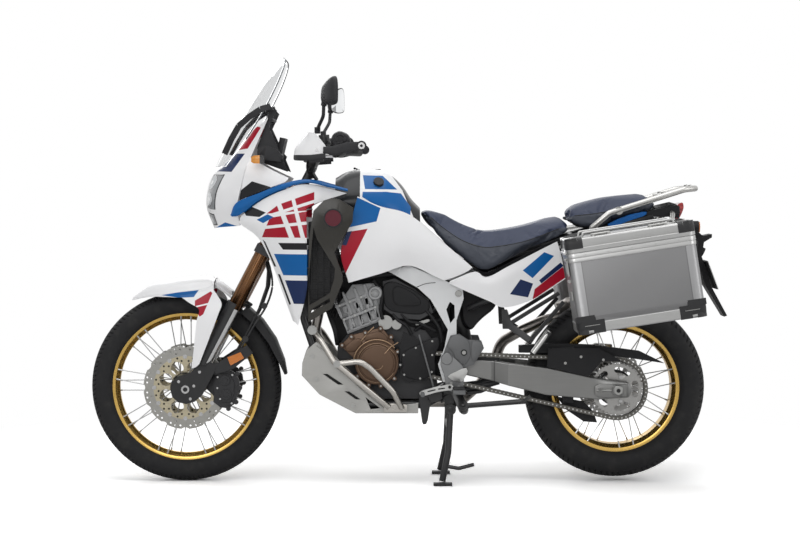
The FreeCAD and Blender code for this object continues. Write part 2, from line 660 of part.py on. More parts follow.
def exhaust():
    """Two header pipes that join under the engine and rise to the silencer on the right."""
    pipes = []
    for y in (-48.0, 48.0):
        pipes.append(tube([(-262, y, 690), (-322, y, 668), (-345, y, 560), (-318, y, 400), (-262, y, 322),
                           (-200, y, 292)], 17.0, 60.0))
    main = tube([(-248, 30, 319), (-160, 40, 286), (190, 40, 286), (268, 112, 345), (326, 160, 430),
                 (350, 158, 500), (420, 110, 545), (500, 116, 580), (580, 150, 600)], 20.0, 70.0)
    pipes.append(main)
    can = rod(vec(574, 151, 599), vec(930, 164, 755), 52.0)
    tip = rod(vec(930, 164, 755), vec(962, 165, 769), 22.0)
    return fused(pipes + [can, tip])


def skid_plate():
    """Pressed aluminium tray under the engine, open at the top, with slots in its sides."""
    outline = [(-338, 523), (-374, 492), (-389, 445), (-391, 400), (-327, 330), (-195, 261), (33, 261),
               (33, 299), (-81, 283), (-283, 483)]
    side = prism_y(outline, -124.0, -120.0)
    slots = [prism_y([(-313, 405), (-298, 405), (-240, 366), (-258, 366)], -130, -110),
             prism_y([(-233, 341), (-219, 341), (-178, 312), (-194, 312)], -130, -110),
             prism_y([(-157, 318), (-106, 280), (-140, 276)], -130, -110)]
    side = side.cut(slots)
    floor = [(-374, 492), (-389, 445), (-391, 400), (-327, 330), (-195, 261), (33, 261)]
    inner = [(33, 265), (-193, 265), (-324, 333), (-387, 402), (-385, 445), (-371, 490)]
    tray = prism_y(floor + inner, -120.0, 120.0)
    return fused([side, mirrored(side), tray])


def crash_bars():
    """Two bright tubes each side, from the engine's front mount round its covers to the cradle."""
    long = tube([(-350, -126, 566), (-322, -150, 535), (-270, -166, 450), (-170, -166, 368), (-72, -150,
                                                                                              286)],
                11.0, 60.0)
    short = tube([(-266, -164, 446), (-177, -176, 456), (-140, -176, 430), (-59, -176, 347), (-26, -150,
                                                                                              282)],
                 11.0, 50.0)
    foot = prism_y([(-92, 300), (-60, 300), (-8, 296), (-8, 270), (-92, 268)], -154.0, -124.0 - GAP)
    head = rod(vec(-352, -90, 567), vec(-352, -132, 567), 13.0)
    bar = fused([long, short, foot, head])
    down = tube([(-384, -76, 600), (-322, -98, 420)], 14.0 + GAP)
    return both_sides(bar.cut(down))


def radiators():
    """Two radiators either side of the down tubes, with their fans' rings."""
    core = prism_y([(-408, 776), (-374, 780), (-362, 622), (-396, 618)], -212.0, -94.0)
    cuts = []
    for k in range(8):
        z = 636 + 17 * k
        cuts.append(prism_y([(-460, z), (-460, z + 8), (-398, z + 8), (-398, z)], -206, -100))
    ring = rod(vec(-374, -152, 700), vec(-348, -152, 702), 54.0)
    ring = ring.cut(rod(vec(-366, -152, 700), vec(-340, -152, 703), 48.0))
    return both_sides(fused([core.cut(cuts), ring]))


def swingarm():
    """Two arms with a stepped left side, joined ahead of the tyre, and slotted ends for the axle."""
    side = prism_y([(112, 452), (125, 461), (200, 459), (300, 452), (510, 427), (670, 392), (800, 374),
                    (812, 347), (800, 320), (690, 312), (500, 328), (309, 376), (180, 405), (112, 412)],
                   -140.0, 140.0)
    # plan of the left arm: inboard ahead of the tyre, outboard of the chain behind it
    plan = prism_z([(100, -104), (300, -104), (360, -136), (815, -136), (815, -110), (400, -110),
                    (310, -78), (230, -56), (180, 0), (100, 0)], 200.0, 600.0)
    arm = side.common(plan)
    arms = fused([arm, mirrored(arm)])
    pivot_hole = cylinder_y(PIVOT_X, PIVOT_Z, 12.0 + GAP, -200, 200)
    axle_hole = cylinder_y(REAR_AXLE_X, REAR_AXLE_Z, AXLE_R + GAP, -200, 200)
    blocks = []
    for y0 in (-142.0, 136.0):
        blocks.append(prism_y([(735, 368), (790, 368), (790, 326), (735, 326)], y0, y0 + 6.0))
    return fused([arms] + blocks).cut([pivot_hole, axle_hole])


def rear_axle():
    """Rear axle, swingarm pivot bolt and the rear caliper on its bracket."""
    axle = cylinder_y(REAR_AXLE_X, REAR_AXLE_Z, AXLE_R, -150.0, 150.0)
    nut = cylinder_y(REAR_AXLE_X, REAR_AXLE_Z, 18.0, -158.0, -142.0 - GAP)
    pivot = cylinder_y(PIVOT_X, PIVOT_Z, 12.0, -111.0, 111.0)
    body = prism_y([(640, 470), (700, 500), (760, 496), (768, 440), (720, 430), (668, 418)], 76.0, 108.0)
    slot = cylinder_y(REAR_AXLE_X, REAR_AXLE_Z, REAR_DISC_R + 7, REAR_DISC_Y - 7.5, REAR_DISC_Y + 7.5)
    arm = prism_y([(690, 470), (750, 470), (776, 347), (742, 347)], 99.5, 107.0)
    body = fused([body.cut(slot), arm])
    body = body.cut(cylinder_y(REAR_AXLE_X, REAR_AXLE_Z, AXLE_R + GAP, 60, 140))
    return Part.makeCompound([fused([axle, nut]), pivot, body])


def chain():
    """Drive chain as one closed band with its links in its outline."""
    big = 105.0
    small = 38.0
    cx0, cz0 = FRONT_SPROCKET_X, FRONT_SPROCKET_Z
    cx1, cz1 = REAR_AXLE_X, REAR_AXLE_Z
    span = math.hypot(cx1 - cx0, cz1 - cz0)
    lean = math.atan2(cz1 - cz0, cx1 - cx0)
    open_angle = math.acos((small - big) / span)

    def band(offset):
        points = []
        for k in range(13):
            a = lean + open_angle + (2 * math.pi - 2 * open_angle) * k / 12
            points.append((cx0 + (small + offset) * math.cos(a), cz0 + (small + offset) * math.sin(a)))
        for k in range(29):
            a = lean - open_angle + 2 * open_angle * k / 28
            points.append((cx1 + (big + offset) * math.cos(a), cz1 + (big + offset) * math.sin(a)))
        return points

    outer = prism_y(band(7.0), CHAIN_Y - 9.0, CHAIN_Y + 9.0)
    inner = prism_y(band(-5.0), CHAIN_Y - 20.0, CHAIN_Y + 20.0)
    cover = prism_y([(0, 390), (96, 384), (100, 500), (0, 500)], CHAIN_Y - 30, CHAIN_Y + 30)
    return outer.cut([inner, cover])


def chain_guards():
    """Black guard over the upper run, ending in a point, and a fin ahead of the sprocket."""
    top = prism_y([(400, 508), (516, 516), (668, 510), (841, 487), (931, 443), (806, 462), (700, 474),
                   (560, 480), (400, 482)], -118.0, -84.0)
    cheek = prism_y([(505, 500), (690, 500), (806, 435), (770, 452), (700, 452), (650, 396), (668, 391),
                     (530, 424), (500, 430)], -142.0, -137.0)
    stay = prism_y([(520, 500), (600, 505), (600, 482), (520, 484)], -137.0, -118.0)
    fin = prism_y([(540, 318), (640, 300), (676, 262), (690, 222), (640, 226), (575, 270)], -82.0, -79.0)
    fin_foot = prism_y([(560, 340), (600, 336), (600, 296), (560, 300)], -110.0 + GAP, -79.0)
    return Part.makeCompound([fused([top, cheek, stay]), fused([fin, fin_foot])])


def foot_controls():
    """Heel plates, rider's pegs, shift lever, brake pedal, and the passenger's pegs on their hangers."""
    pieces = []
    for side in (-1, 1):
        heel = prism_y([(150, 545), (182, 552), (215, 530), (262, 528), (272, 500), (236, 440), (176, 420),
                        (132, 428), (118, 458), (132, 500)], side * 128 - 3.5, side * 128 + 3.5)
        hanger = prism_y([(136, 430), (182, 430), (200, 352), (160, 338), (132, 352)],
                         side * 136 - 6.5, side * 136 + 6.5)
        peg = beam((178, side * 140, 352), (178, side * 268, 352), 44.0, 15.0)
        pieces.append(fused([heel, hanger, peg]))
        passenger = fused([beam((360, side * 128, 585), (438, side * 166, 530), 10.0, 24.0),
                           beam((438, side * 166, 530), (560, side * 134, 668), 10.0, 14.0),
                           beam((360, side * 128, 585), (545, side * 124, 700), 10.0, 14.0),
                           beam((450, side * 170, 486), (506, side * 186, 565), 34.0, 16.0),
                           prism_y([(336, 640), (356, 640), (380, 570), (340, 570)],
                                   side * 128 - 7.0, side * 128 + 7.0)])
        pieces.append(passenger)
    shift = fused([tube([(140, -158, 362), (92, -160, 348), (44, -160, 336)], 6.0, 30.0),
                   rod(vec(48, -160, 337), vec(48, -208, 337), 8.0),
                   rod(vec(90, -150, 352), vec(36, -122, 548), 3.5),
                   rod(vec(140, -142, 362), vec(140, -164, 362), 10.0)])
    pedal = fused([tube([(150, 158, 350), (60, 162, 322), (4, 166, 340)], 6.0, 30.0),
                   rod(vec(8, 166, 340), vec(8, 204, 340), 9.0),
                   rod(vec(150, 142, 350), vec(150, 164, 350), 10.0)])
    return Part.makeCompound([pieces[0].fuse(shift), pieces[1], pieces[2].fuse(pedal), pieces[3]])


def side_stand():
    """Folded leg on the left with its foot, seen lying back along the footpeg hangers."""
    root = vec(*SIDE_STAND_PIVOT)
    tip = root + vec(*SIDE_STAND_FOLDED) * 226.0
    leg = rod(root, tip, 9.5)
    knuckle = rod(root - vec(*SIDE_STAND_AXIS) * 10, root + vec(*SIDE_STAND_AXIS) * 10, 17.0)
    foot = beam(tuple(tip - vec(18, 0, 4)), tuple(tip + vec(16, 0, 18)), 44.0, 7.0)
    bolt = rod(root - vec(*SIDE_STAND_AXIS) * 40, root + vec(*SIDE_STAND_AXIS) * 40, 7.0 + GAP)
    return fused([leg, knuckle, foot]).cut(bolt)


def centre_stand():
    """Two splayed legs with rocker feet, a cross tube and the foot lever on the left."""
    px, pz = CENTRE_STAND_PIVOT
    half = []
    for side in (-1, 1):
        leg = tube([(px, side * 128, pz), (px - 8, side * 138, 120), (px - 30, side * 150, 16)], 12.0, 60.0)
        foot = beam((px - 62, side * 151, 6), (px + 6, side * 151, 6), 34.0, 12.0)
        eye = cylinder_y(px, pz, 20.0, side * 128 - 12, side * 128 + 12)
        half += [leg, foot, eye]
    half.append(rod(vec(px - 3, -134, 205), vec(px - 3, 134, 205), 11.0))
    half.append(tube([(px - 14, -143, 70), (px + 30, -158, 64), (px + 84, -170, 80)], 7.0, 30.0))
    stand = fused(half)
    return stand.cut(cylinder_y(px, pz, 10.0 + GAP, -200, 200))


# ---- bodywork -------------------------------------------------------------------------------
def fuel_tank():
    """Tank with its covers, a closed body between the steering head and the seat."""
    # columns: x, top z, shoulder z, widest z, bottom z, shoulder y, widest y, bottom y
    stations = [(-268, 1118, 1092, 1030, 950, 120, 176, 150),
                (-225, 1140, 1104, 1035, 925, 130, 188, 158),
                (-165, 1150, 1112, 1030, 915, 138, 190, 160),
                (-100, 1144, 1104, 1012, 905, 136, 180, 156),
                (-58, 1121, 1084, 996, 900, 124, 168, 150),
                (-22, 1086, 1056, 976, 895, 110, 152, 140),
                (8, 1042, 1018, 956, 890, 100, 138, 128),
                (40, 1008, 992, 940, 888, 82, 120, 112)]
    sections = []
    for x, top, shoulder, wide, bottom, shoulder_y, wide_y, bottom_y in stations:
        half = [(0.0, top), (0.55 * shoulder_y, top - 4), (shoulder_y, shoulder), (wide_y, wide),
                (bottom_y, bottom), (0.0, bottom)]
        sections.append(full_section(x, half))
    body = sections_solid(sections)
    neck = cylinder_z(CAP_X, 0.0, CAP_R + 3, CAP_Z - 12, CAP_Z + 60)
    return body.cut(neck)


def cylinder_z(x, y, radius, z0, z1):
    return Part.makeCylinder(radius, z1 - z0, vec(x, y, z0))


def fuel_cap():
    """Flap over the filler, hinged at its front edge."""
    disc = cylinder_z(CAP_X, 0.0, CAP_R, CAP_Z - 6, CAP_Z + 12)
    knuckle = rod(vec(CAP_X - CAP_R - 4, -14, CAP_Z + 15), vec(CAP_X - CAP_R - 4, 14, CAP_Z + 15), 4.0)
    web = prism_y([(CAP_X - CAP_R - 4, CAP_Z + 15), (CAP_X - CAP_R - 4, CAP_Z + 19), (CAP_X - CAP_R + 12,
                                                                                      CAP_Z + 12),
                   (CAP_X - CAP_R + 12, CAP_Z + 8)], -10.0, 10.0)
    return fused([disc, knuckle, web])


def knee_panels():
    """White covers below the tank, flared at the front and drawn in towards the seat."""
    rows = [[(-186, -206, 1052), (-106, -194, 1017), (2, -170, 985), (118, -156, 890), (228, -150, 796)],
            [(-214, -216, 950), (-106, -204, 940), (0, -182, 920), (112, -160, 850), (214, -151, 782)],
            [(-246, -224, 850), (-108, -208, 860), (0, -182, 860), (104, -158, 806), (172, -148, 762)],
            [(-218, -218, 742), (-105, -192, 773), (-2, -164, 801), (92, -150, 762), (128, -144, 746)]]
    return both_sides(skin(rows, PANEL))


def side_fairings():
    """Radiator shrouds: wide at the back, drawn in towards the fork, ending in a tip below."""
    rows = [[(-604, -168, 984), (-530, -192, 1038), (-449, -211, 1075), (-367, -224, 1095), (-225, -215,
                                                                                             1064)],
            [(-612, -166, 966), (-540, -204, 990), (-450, -236, 1004), (-374, -254, 1010), (-364, -254,
                                                                                            1010)],
            [(-606, -164, 949), (-540, -208, 952), (-450, -242, 954), (-374, -262, 950), (-366, -262, 950)],
            [(-541, -180, 898), (-495, -216, 898), (-440, -244, 896), (-374, -264, 892), (-366, -264, 890)],
            [(-487, -196, 793), (-455, -224, 793), (-415, -247, 792), (-374, -260, 790), (-365, -260, 790)],
            [(-455, -206, 705), (-432, -228, 705), (-408, -242, 706), (-378, -252, 708), (-368, -252, 710)],
            [(-418, -222, 606), (-411, -232, 602), (-406, -238, 598), (-402, -242, 594), (-398, -242, 592)]]
    return both_sides(skin(rows, PANEL))


def side_ducts():
    """Dark frames round the radiators' outlets, one each side."""
    outline = [(-342, 1001), (-305, 1038), (-277, 1047), (-248, 1041), (-200, 1012), (-203, 961), (-268, 853),
               (-240, 775), (-238, 748), (-277, 654), (-391, 586), (-396, 604), (-362, 690), (-358, 900)]
    vent = [(-342, 941), (-330, 900), (-296, 845), (-266, 797), (-268, 760), (-285, 707), (-357, 664),
            (-362, 736)]
    slot = [(-352, 637), (-346, 652), (-285, 690), (-284, 676)]
    frame = prism_y(outline, -268.0, -250.0)
    frame = frame.cut([prism_y(vent, -300.0, -200.0), prism_y(slot, -300.0, -200.0)])
    clear = prism_y([(-460, 560), (-361, 560), (-361, 1000), (-342, 1060), (-460, 1060)], -300.0, -200.0)
    boss = rod(vec(-272, -268, 975), vec(-272, -272, 975), 34.0)
    return both_sides(fused([frame.cut(clear), boss]))


def fairing_trim():
    """Long blades along the top of the shrouds, deep at the nose and thin towards the tank."""
    rows = [[(-646, -160, 983), (-621, -172, 1030), (-535, -190, 1066), (-449, -207, 1099), (-367, -220,
                                                                                             1113),
             (-284, -222, 1095), (-221, -212, 1079)],
            [(-640, -160, 978), (-608, -170, 987), (-532, -193, 1043), (-449, -210, 1080), (-367, -223, 1100),
             (-284, -223, 1083), (-221, -213, 1069)]]
    return both_sides(skin(rows, TRIM))


def nose_grid():
    return [mirror_row(row) for row in NOSE_ROWS]


def nose_cells():
    """Patches of the nose that are lamp glass, on both sides of the middle."""
    middle = len(NOSE_ROWS[0]) - 1
    cells = set()
    for row, column in LAMP_CELLS:
        cells.add((row, middle + column))
        cells.add((row, middle - 1 - column))
    return cells


def nose_cowl():
    """Front cowl with its headlamp openings, and the side wings that run back to the shrouds."""
    grid = nose_grid()
    every = {(i, j) for i in range(len(grid) - 1) for j in range(len(grid[0]) - 1)}
    face = skin(grid, PANEL, every - nose_cells())
    wing = skin([[(-574, -158, 1192), (-500, -184, 1150), (-433, -196, 1118)],
                 [(-592, -181, 1140), (-520, -190, 1114), (-440, -201, 1109)],
                 [(-614, -172, 1036), (-540, -186, 1068), (-450, -204, 1102)]], PANEL)
    return Part.makeCompound([face, wing, mirrored(wing)])


def headlamps():
    """Twin lamp glasses set flush in the cowl."""
    cells = nose_cells()
    left = {cell for cell in cells if cell[1] < len(NOSE_ROWS[0]) - 1}
    return Part.makeCompound([skin(nose_grid(), PANEL, left), skin(nose_grid(), PANEL, cells - left)])


def front_indicators():
    """Amber turn signals on short stalks, out of the sides of the dash housing."""
    lens = sections_solid([[(x, -212 - w, 1184 - h), (x, -212 + w, 1184 - h), (x, -212 + w, 1184 + h),
                            (x, -212 - w, 1184 + h)] for x, w, h in ((-566, 9, 9), (-556, 16, 14), (-530,
                                                                                                    17, 15))])
    cup = prism_y([(-530, 1167), (-530, 1201), (-518, 1195), (-518, 1173)], -229.0, -195.0)
    stalk = rod(vec(-534, -POD_Y - 3 * GAP, 1192), vec(-530, -198, 1190), 6.0)
    return both_sides(fused([lens, cup, stalk]))


def windscreen():
    """Tall clear screen, curved round the rider."""
    # columns: z, middle x, edge x, half width
    stations = [(1558, -468, -462, 52), (1532, -492, -454, 112), (1450, -548, -484, 142),
                (1345, -612, -538, 152), (1240, -672, -606, 144), (1160, -712, -668, 116)]
    grid = []
    for z, middle, edge, half in stations:
        row = [(middle, 0.0, z), (middle + 0.16 * (edge - middle), 0.45 * half, z),
               (middle + 0.5 * (edge - middle), 0.8 * half, z), (edge, half, z)]
        grid.append(mirror_row(row))
    return skin(grid, 4.0)


def screen_mount():
    """Black carrier behind the screen: side plates, arched bands outside the glass, the crossbar, the
    instrument display and the dash housing."""
    plate = prism_y([(-504, 1379), (-483, 1356), (-509, 1300), (-481, 1240), (-440, 1140), (-524, 1170),
                     (-552, 1226), (-528, 1290), (-510, 1346)], -122.0, -114.0)
    path = [(-668, -132, 1205), (-643, -142, 1258), (-615, -152, 1305), (-578, -160, 1337), (-536, -161,
                                                                                             1365),
            (-500, -158, 1376)]
    band = [beam(a, b, 8.0, 22.0) for a, b in zip(path, path[1:])]
    spacer = cylinder_y(-503, 1368, 9.0, -158.0, -116.0)
    pod = prism_y([(-548, 1228), (-515, 1235), (-479, 1221), (-456, 1198), (-465, 1176), (-525, 1183),
                   (-548, 1196)], -POD_Y, -116.0)
    carrier = both_sides(fused([plate, spacer, pod] + band))
    crossbar = cylinder_y(CROSSBAR_X, CROSSBAR_Z, CROSSBAR_R, -126.0, 126.0)
    display = prism_y([(-494, 1170), (-470, 1266), (-450, 1262), (-474, 1160)], -92.0, 92.0)
    stay = prism_y([(-560, 1190), (-494, 1204), (-486, 1184), (-552, 1170)], -126.0, 126.0)
    return fused([carrier, crossbar, display, stay])


def seat(stations):
    """Closed pad: crowned on top, side flaps that hang over the rails, hollowed underneath."""
    sections = []
    for x, top, under, skirt, half in stations:
        sections.append(full_section(x, [(0.0, top), (0.6 * half, top - 5), (0.9 * half, top - 22),
                                         (half, 0.5 * (top - 22 + skirt)), (0.98 * half, skirt),
                                         (0.82 * half, skirt), (0.8 * half, under), (0.0, under)]))
    return sections_solid(sections)


def seat_front():
    # columns: x, top z, underside z, skirt z, half width
    return seat([(46, 1014, 1000, 994, 84), (80, 1000, 958, 940, 98), (130, 960, 912, 870, 116),
                 (200, 924, 882, 812, 134), (280, 904, 872, 782, 148), (390, 918, 884, 824, 154),
                 (470, 938, 900, 868, 154), (545, 962, 924, 904, 138), (590, 960, 940, 930, 122)])


def seat_rear():
    return seat([(556, 988, 978, 976, 96), (602, 1010, 966, 962, 112), (700, 1026, 962, 956, 122),
                 (850, 1048, 996, 990, 122), (908, 1046, 1020, 1016, 100)])


def tail_panels():
    """White side covers between the seat and the luggage, with their lower wedge."""
    rows = [[(148, -150, 745), (236, -155, 779), (281, -160, 760), (360, -162, 800), (474, -160, 858),
             (536, -148, 888)],
            [(146, -149, 741), (226, -156, 742), (290, -166, 731), (380, -166, 760), (480, -158, 806),
             (552, -144, 830)],
            [(144, -147, 737), (204, -150, 709), (286, -160, 674), (346, -160, 650), (450, -152, 680),
             (566, -140, 752)]]
    return both_sides(skin(rows, PANEL))


def rear_mudguard():
    """Tail unit with the lamp, plate holder, blank plate and lower flap."""
    tail = sections_solid([full_section(x, [(0.0, top), (half, top - 8), (half, low), (0.0, low)])
                           for x, top, low, half in ((900, 1016, 985, 70), (960, 1030, 975, 84), (988, 1022,
                                                                                                  970, 78))])
    lamp = prism_y([(988 + GAP, 1024), (1002, 1010), (996, 968), (988 + GAP, 968)], -62.0, 62.0)
    holder = prism_y([(985, 968), (1010, 968), (1080, 905), (1113, 912), (1113, 900), (1084, 882), (1076,
                                                                                                    830),
                      (1112, 720), (1171, 612), (1160, 608), (1090, 722), (1058, 826), (1062, 890), (1000,
                                                                                                     950)],
                     -42.0, 42.0)
    plate = prism_y([(1086, 812), (1089, 813), (1128, 712), (1125, 711)], -90.0, 90.0)
    signals = [cylinder_y(1040, 940, 5.0, -110, 110), rod(vec(1030, -112, 940), vec(1052, -112, 940), 22.0),
               rod(vec(1030, 112, 940), vec(1052, 112, 940), 22.0)]
    return fused([tail, holder, plate] + signals)


def luggage_rack():
    """Bright tubes: grab loop and carrier plate behind the seat, and the side racks of the boxes."""
    loop = [(662, -134, 937), (724, -136, 990), (1000, -112, 1076), (1046, -86, 1080), (1046, 86, 1080),
            (1000, 112, 1076), (724, 136, 990), (662, 134, 937)]
    rail = tube(loop, 11.0, 40.0)
    a = math.radians(RACK_SLOPE)
    plate = Part.makeBox(RACK_PLATE[0], RACK_PLATE[1], 6.0, vec(0, -RACK_PLATE[1] / 2, 0))
    slots = []
    for y in (-78, -26, 0, 26, 78):
        slots.append(Part.makeBox(70, 14, 20, vec(36, y - 7, -5)))
    for x in RACK_HOLES_X:
        for y in (-RACK_HOLE_Y, RACK_HOLE_Y):
            slots.append(Part.makeCylinder(3.3, 30, vec(x, y, -10)))
    plate = plate.cut(slots)
    plate.rotate(vec(0, 0, 0), vec(0, 1, 0), -RACK_SLOPE)
    plate.translate(vec(912, 0, 1052))
    side = [tube([(606, -114, 894), (640, -200, 888), (700, -232, 890), (940, -232, 924)], 9.0, 50.0),
            tube([(690, -232, 890), (652, -232, 650), (955, -232, 698), (925, -232, 921)], 9.0, 50.0),
            tube([(930, -232, 922), (956, -130, 988), (958, -90, 990)], 9.0, 40.0)]
    return Part.makeCompound([fused([rail, plate])] + [fused(side), mirrored(fused(side))])


def pannier_place(shape, side):
    """Moves a box built along +X, +Y outward and +Z up into its tilted place on one side."""
    shape = shape.copy()
    if side < 0:
        shape = shape.mirror(vec(0, 0, 0), vec(0, 1, 0))
    shape.rotate(vec(0, 0, 0), vec(0, 1, 0), -PANNIER_TILT)
    shape.translate(vec(PANNIER_CORNER[0], 0, PANNIER_CORNER[1]))
    return shape


def pannier_shell(height, floor):
    """Open-topped sheet box with rounded upright edges."""
    width = PANNIER_OUTER_Y - PANNIER_INNER_Y
    outer = Part.makeBox(PANNIER_LENGTH, width, height, vec(0, PANNIER_INNER_Y, 0))
    upright = [e for e in outer.Edges if abs(e.tangentAt(e.FirstParameter).z) > 0.9]
    outer = outer.makeFillet(BOX_CORNER, upright)
    inner = Part.makeBox(PANNIER_LENGTH - 2 * SHEET, width - 2 * SHEET, height,
                         vec(SHEET, PANNIER_INNER_Y + SHEET, floor))
    upright = [e for e in inner.Edges if abs(e.tangentAt(e.FirstParameter).z) > 0.9]
    inner = inner.makeFillet(BOX_CORNER - SHEET, upright)
    return outer, inner


def pannier_box(side):
    outer, inner = pannier_shell(PANNIER_HEIGHT, SHEET)
    width = PANNIER_OUTER_Y - PANNIER_INNER_Y
    lugs = []
    for x, y in ((0, PANNIER_OUTER_Y), (PANNIER_LENGTH, PANNIER_OUTER_Y)):
        cap = Part.makeBox(2 * CAP_REACH, 2 * CAP_REACH, CAP_HEIGHT,
                           vec(x - CAP_REACH, y - CAP_REACH, -CAP_WALL))
        big = Part.makeBox(PANNIER_LENGTH + 2 * CAP_WALL, width + 2 * CAP_WALL, 80,
                           vec(-CAP_WALL, PANNIER_INNER_Y - CAP_WALL, -CAP_WALL))
        upright = [e for e in big.Edges if abs(e.tangentAt(e.FirstParameter).z) > 0.9]
        big = big.makeFillet(BOX_CORNER + 2.0, upright)
        lugs.append(cap.common(big))
    middle = PANNIER_INNER_Y + width / 2
    lugs.append(Part.makeBox(10.0, 56.0, 44.0, vec(PANNIER_LENGTH - 1.0, middle - 28.0,
                                                   PANNIER_HEIGHT - 52.0)))
    for u in (90.0, PANNIER_LENGTH - 90.0):
        lugs.append(Part.makeBox(40.0, 12.0, 26.0, vec(u - 20.0, PANNIER_INNER_Y - 4.0,
                                                       PANNIER_HEIGHT - 44.0)))
    box = fused([outer] + lugs).cut(inner)
    return pannier_place(box, side)


def pannier_lid(side):
    """Shallow lid over the box, hinged at its front edge."""
    outer, inner = pannier_shell(LID_HEIGHT, -SHEET)
    edges = [e for e in outer.Edges if e.BoundBox.ZMin > LID_HEIGHT - 0.1]
    outer = outer.makeFillet(8.0, edges)
    lid = outer.cut(inner)
    hinge = Part.makeCylinder(5.0, 150.0, vec(-6.0, PANNIER_INNER_Y + 44, 2.0), vec(0, 1, 0))
    leaf = Part.makeBox(8.0, 120.0, 12.0, vec(-6.0, PANNIER_INNER_Y + 59, 2.0))
    width = PANNIER_OUTER_Y - PANNIER_INNER_Y
    crown = Part.makeBox(PANNIER_LENGTH + 2 * CAP_WALL, width + 2 * CAP_WALL, 34,
                         vec(-CAP_WALL, PANNIER_INNER_Y - CAP_WALL, LID_HEIGHT - 34 + CAP_WALL))
    upright = [e for e in crown.Edges if abs(e.tangentAt(e.FirstParameter).z) > 0.9]
    crown = crown.makeFillet(BOX_CORNER + 2.0, upright)
    extras = [hinge, leaf]
    for u in (0.0, PANNIER_LENGTH):
        for y in (PANNIER_INNER_Y, PANNIER_OUTER_Y):
            cap = Part.makeBox(2 * LID_CAP_REACH, 2 * LID_CAP_REACH, 40,
                               vec(u - LID_CAP_REACH, y - LID_CAP_REACH, LID_HEIGHT - 34))
            extras.append(cap.common(crown))
    for y in (PANNIER_INNER_Y + 46.0, PANNIER_OUTER_Y - 46.0):
        extras.append(tube([(60, y, LID_HEIGHT - 2), (66, y, LID_HEIGHT + 14), (PANNIER_LENGTH - 66, y,
                                                                                LID_HEIGHT + 14),
                            (PANNIER_LENGTH - 60, y, LID_HEIGHT - 2)], 4.0, 8.0))
    extras.append(Part.makeBox(8.0, 44.0, 30.0, vec(PANNIER_LENGTH - 1.0,
                                                    PANNIER_INNER_Y + width / 2 - 22.0, 1.0)))
    lid = fused([lid] + extras).cut(inner)
    lid.translate(vec(0, 0, PANNIER_HEIGHT + GAP))
    return pannier_place(lid, side)


# ---- export ---------------------------------------------------------------------------------
def export(shapes):
    os.makedirs("parts", exist_ok=True)
    for name, shape in shapes.items():
        shape.exportStep("parts/" + name + ".step")


nodes = {}
nodes.update(front_wheel())
nodes.update(rear_wheel())
nodes.update({
    "fork_tubes": fork_tubes(), "fork_legs": fork_legs(), "triple_clamps": triple_clamps(),
    "front_fender": front_fender(), "front_brakes": front_brakes(), "front_mudflap": front_mudflap(),
    "brake_hoses": brake_hoses(), "handlebar": handlebar(),
    "handguards": handguards(), "mirrors": mirrors(),
    "main_frame": main_frame(), "subframe": subframe(), "engine_block": engine_block(),
    "cylinder_head": cylinder_head(), "engine_covers": engine_covers(), "exhaust": exhaust(),
    "skid_plate": skid_plate(), "crash_bars": crash_bars(), "radiators": radiators(),
    "swingarm": swingarm(), "rear_axle": rear_axle(), "chain": chain(), "chain_guards": chain_guards(),
    "foot_controls": foot_controls(), "side_stand": side_stand(), "centre_stand": centre_stand(),
    "fuel_tank": fuel_tank(), "fuel_cap": fuel_cap(), "knee_panels": knee_panels(),
    "side_fairings": side_fairings(), "side_ducts": side_ducts(), "fairing_trim": fairing_trim(),
    "nose_cowl": nose_cowl(), "headlamps": headlamps(), "front_indicators": front_indicators(),
    "windscreen": windscreen(),
    "screen_mount": screen_mount(), "seat_front": seat_front(), "seat_rear": seat_rear(),
    "tail_panels": tail_panels(), "rear_mudguard": rear_mudguard(), "luggage_rack": luggage_rack(),
    "pannier_box_left": pannier_box(-1), "pannier_box_right": pannier_box(1),
    "pannier_lid_left": pannier_lid(-1), "pannier_lid_right": pannier_lid(1)})
export(nodes)
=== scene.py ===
import json
import math

import bmesh
import bpy
import numpy as np
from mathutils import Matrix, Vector, bvhtree


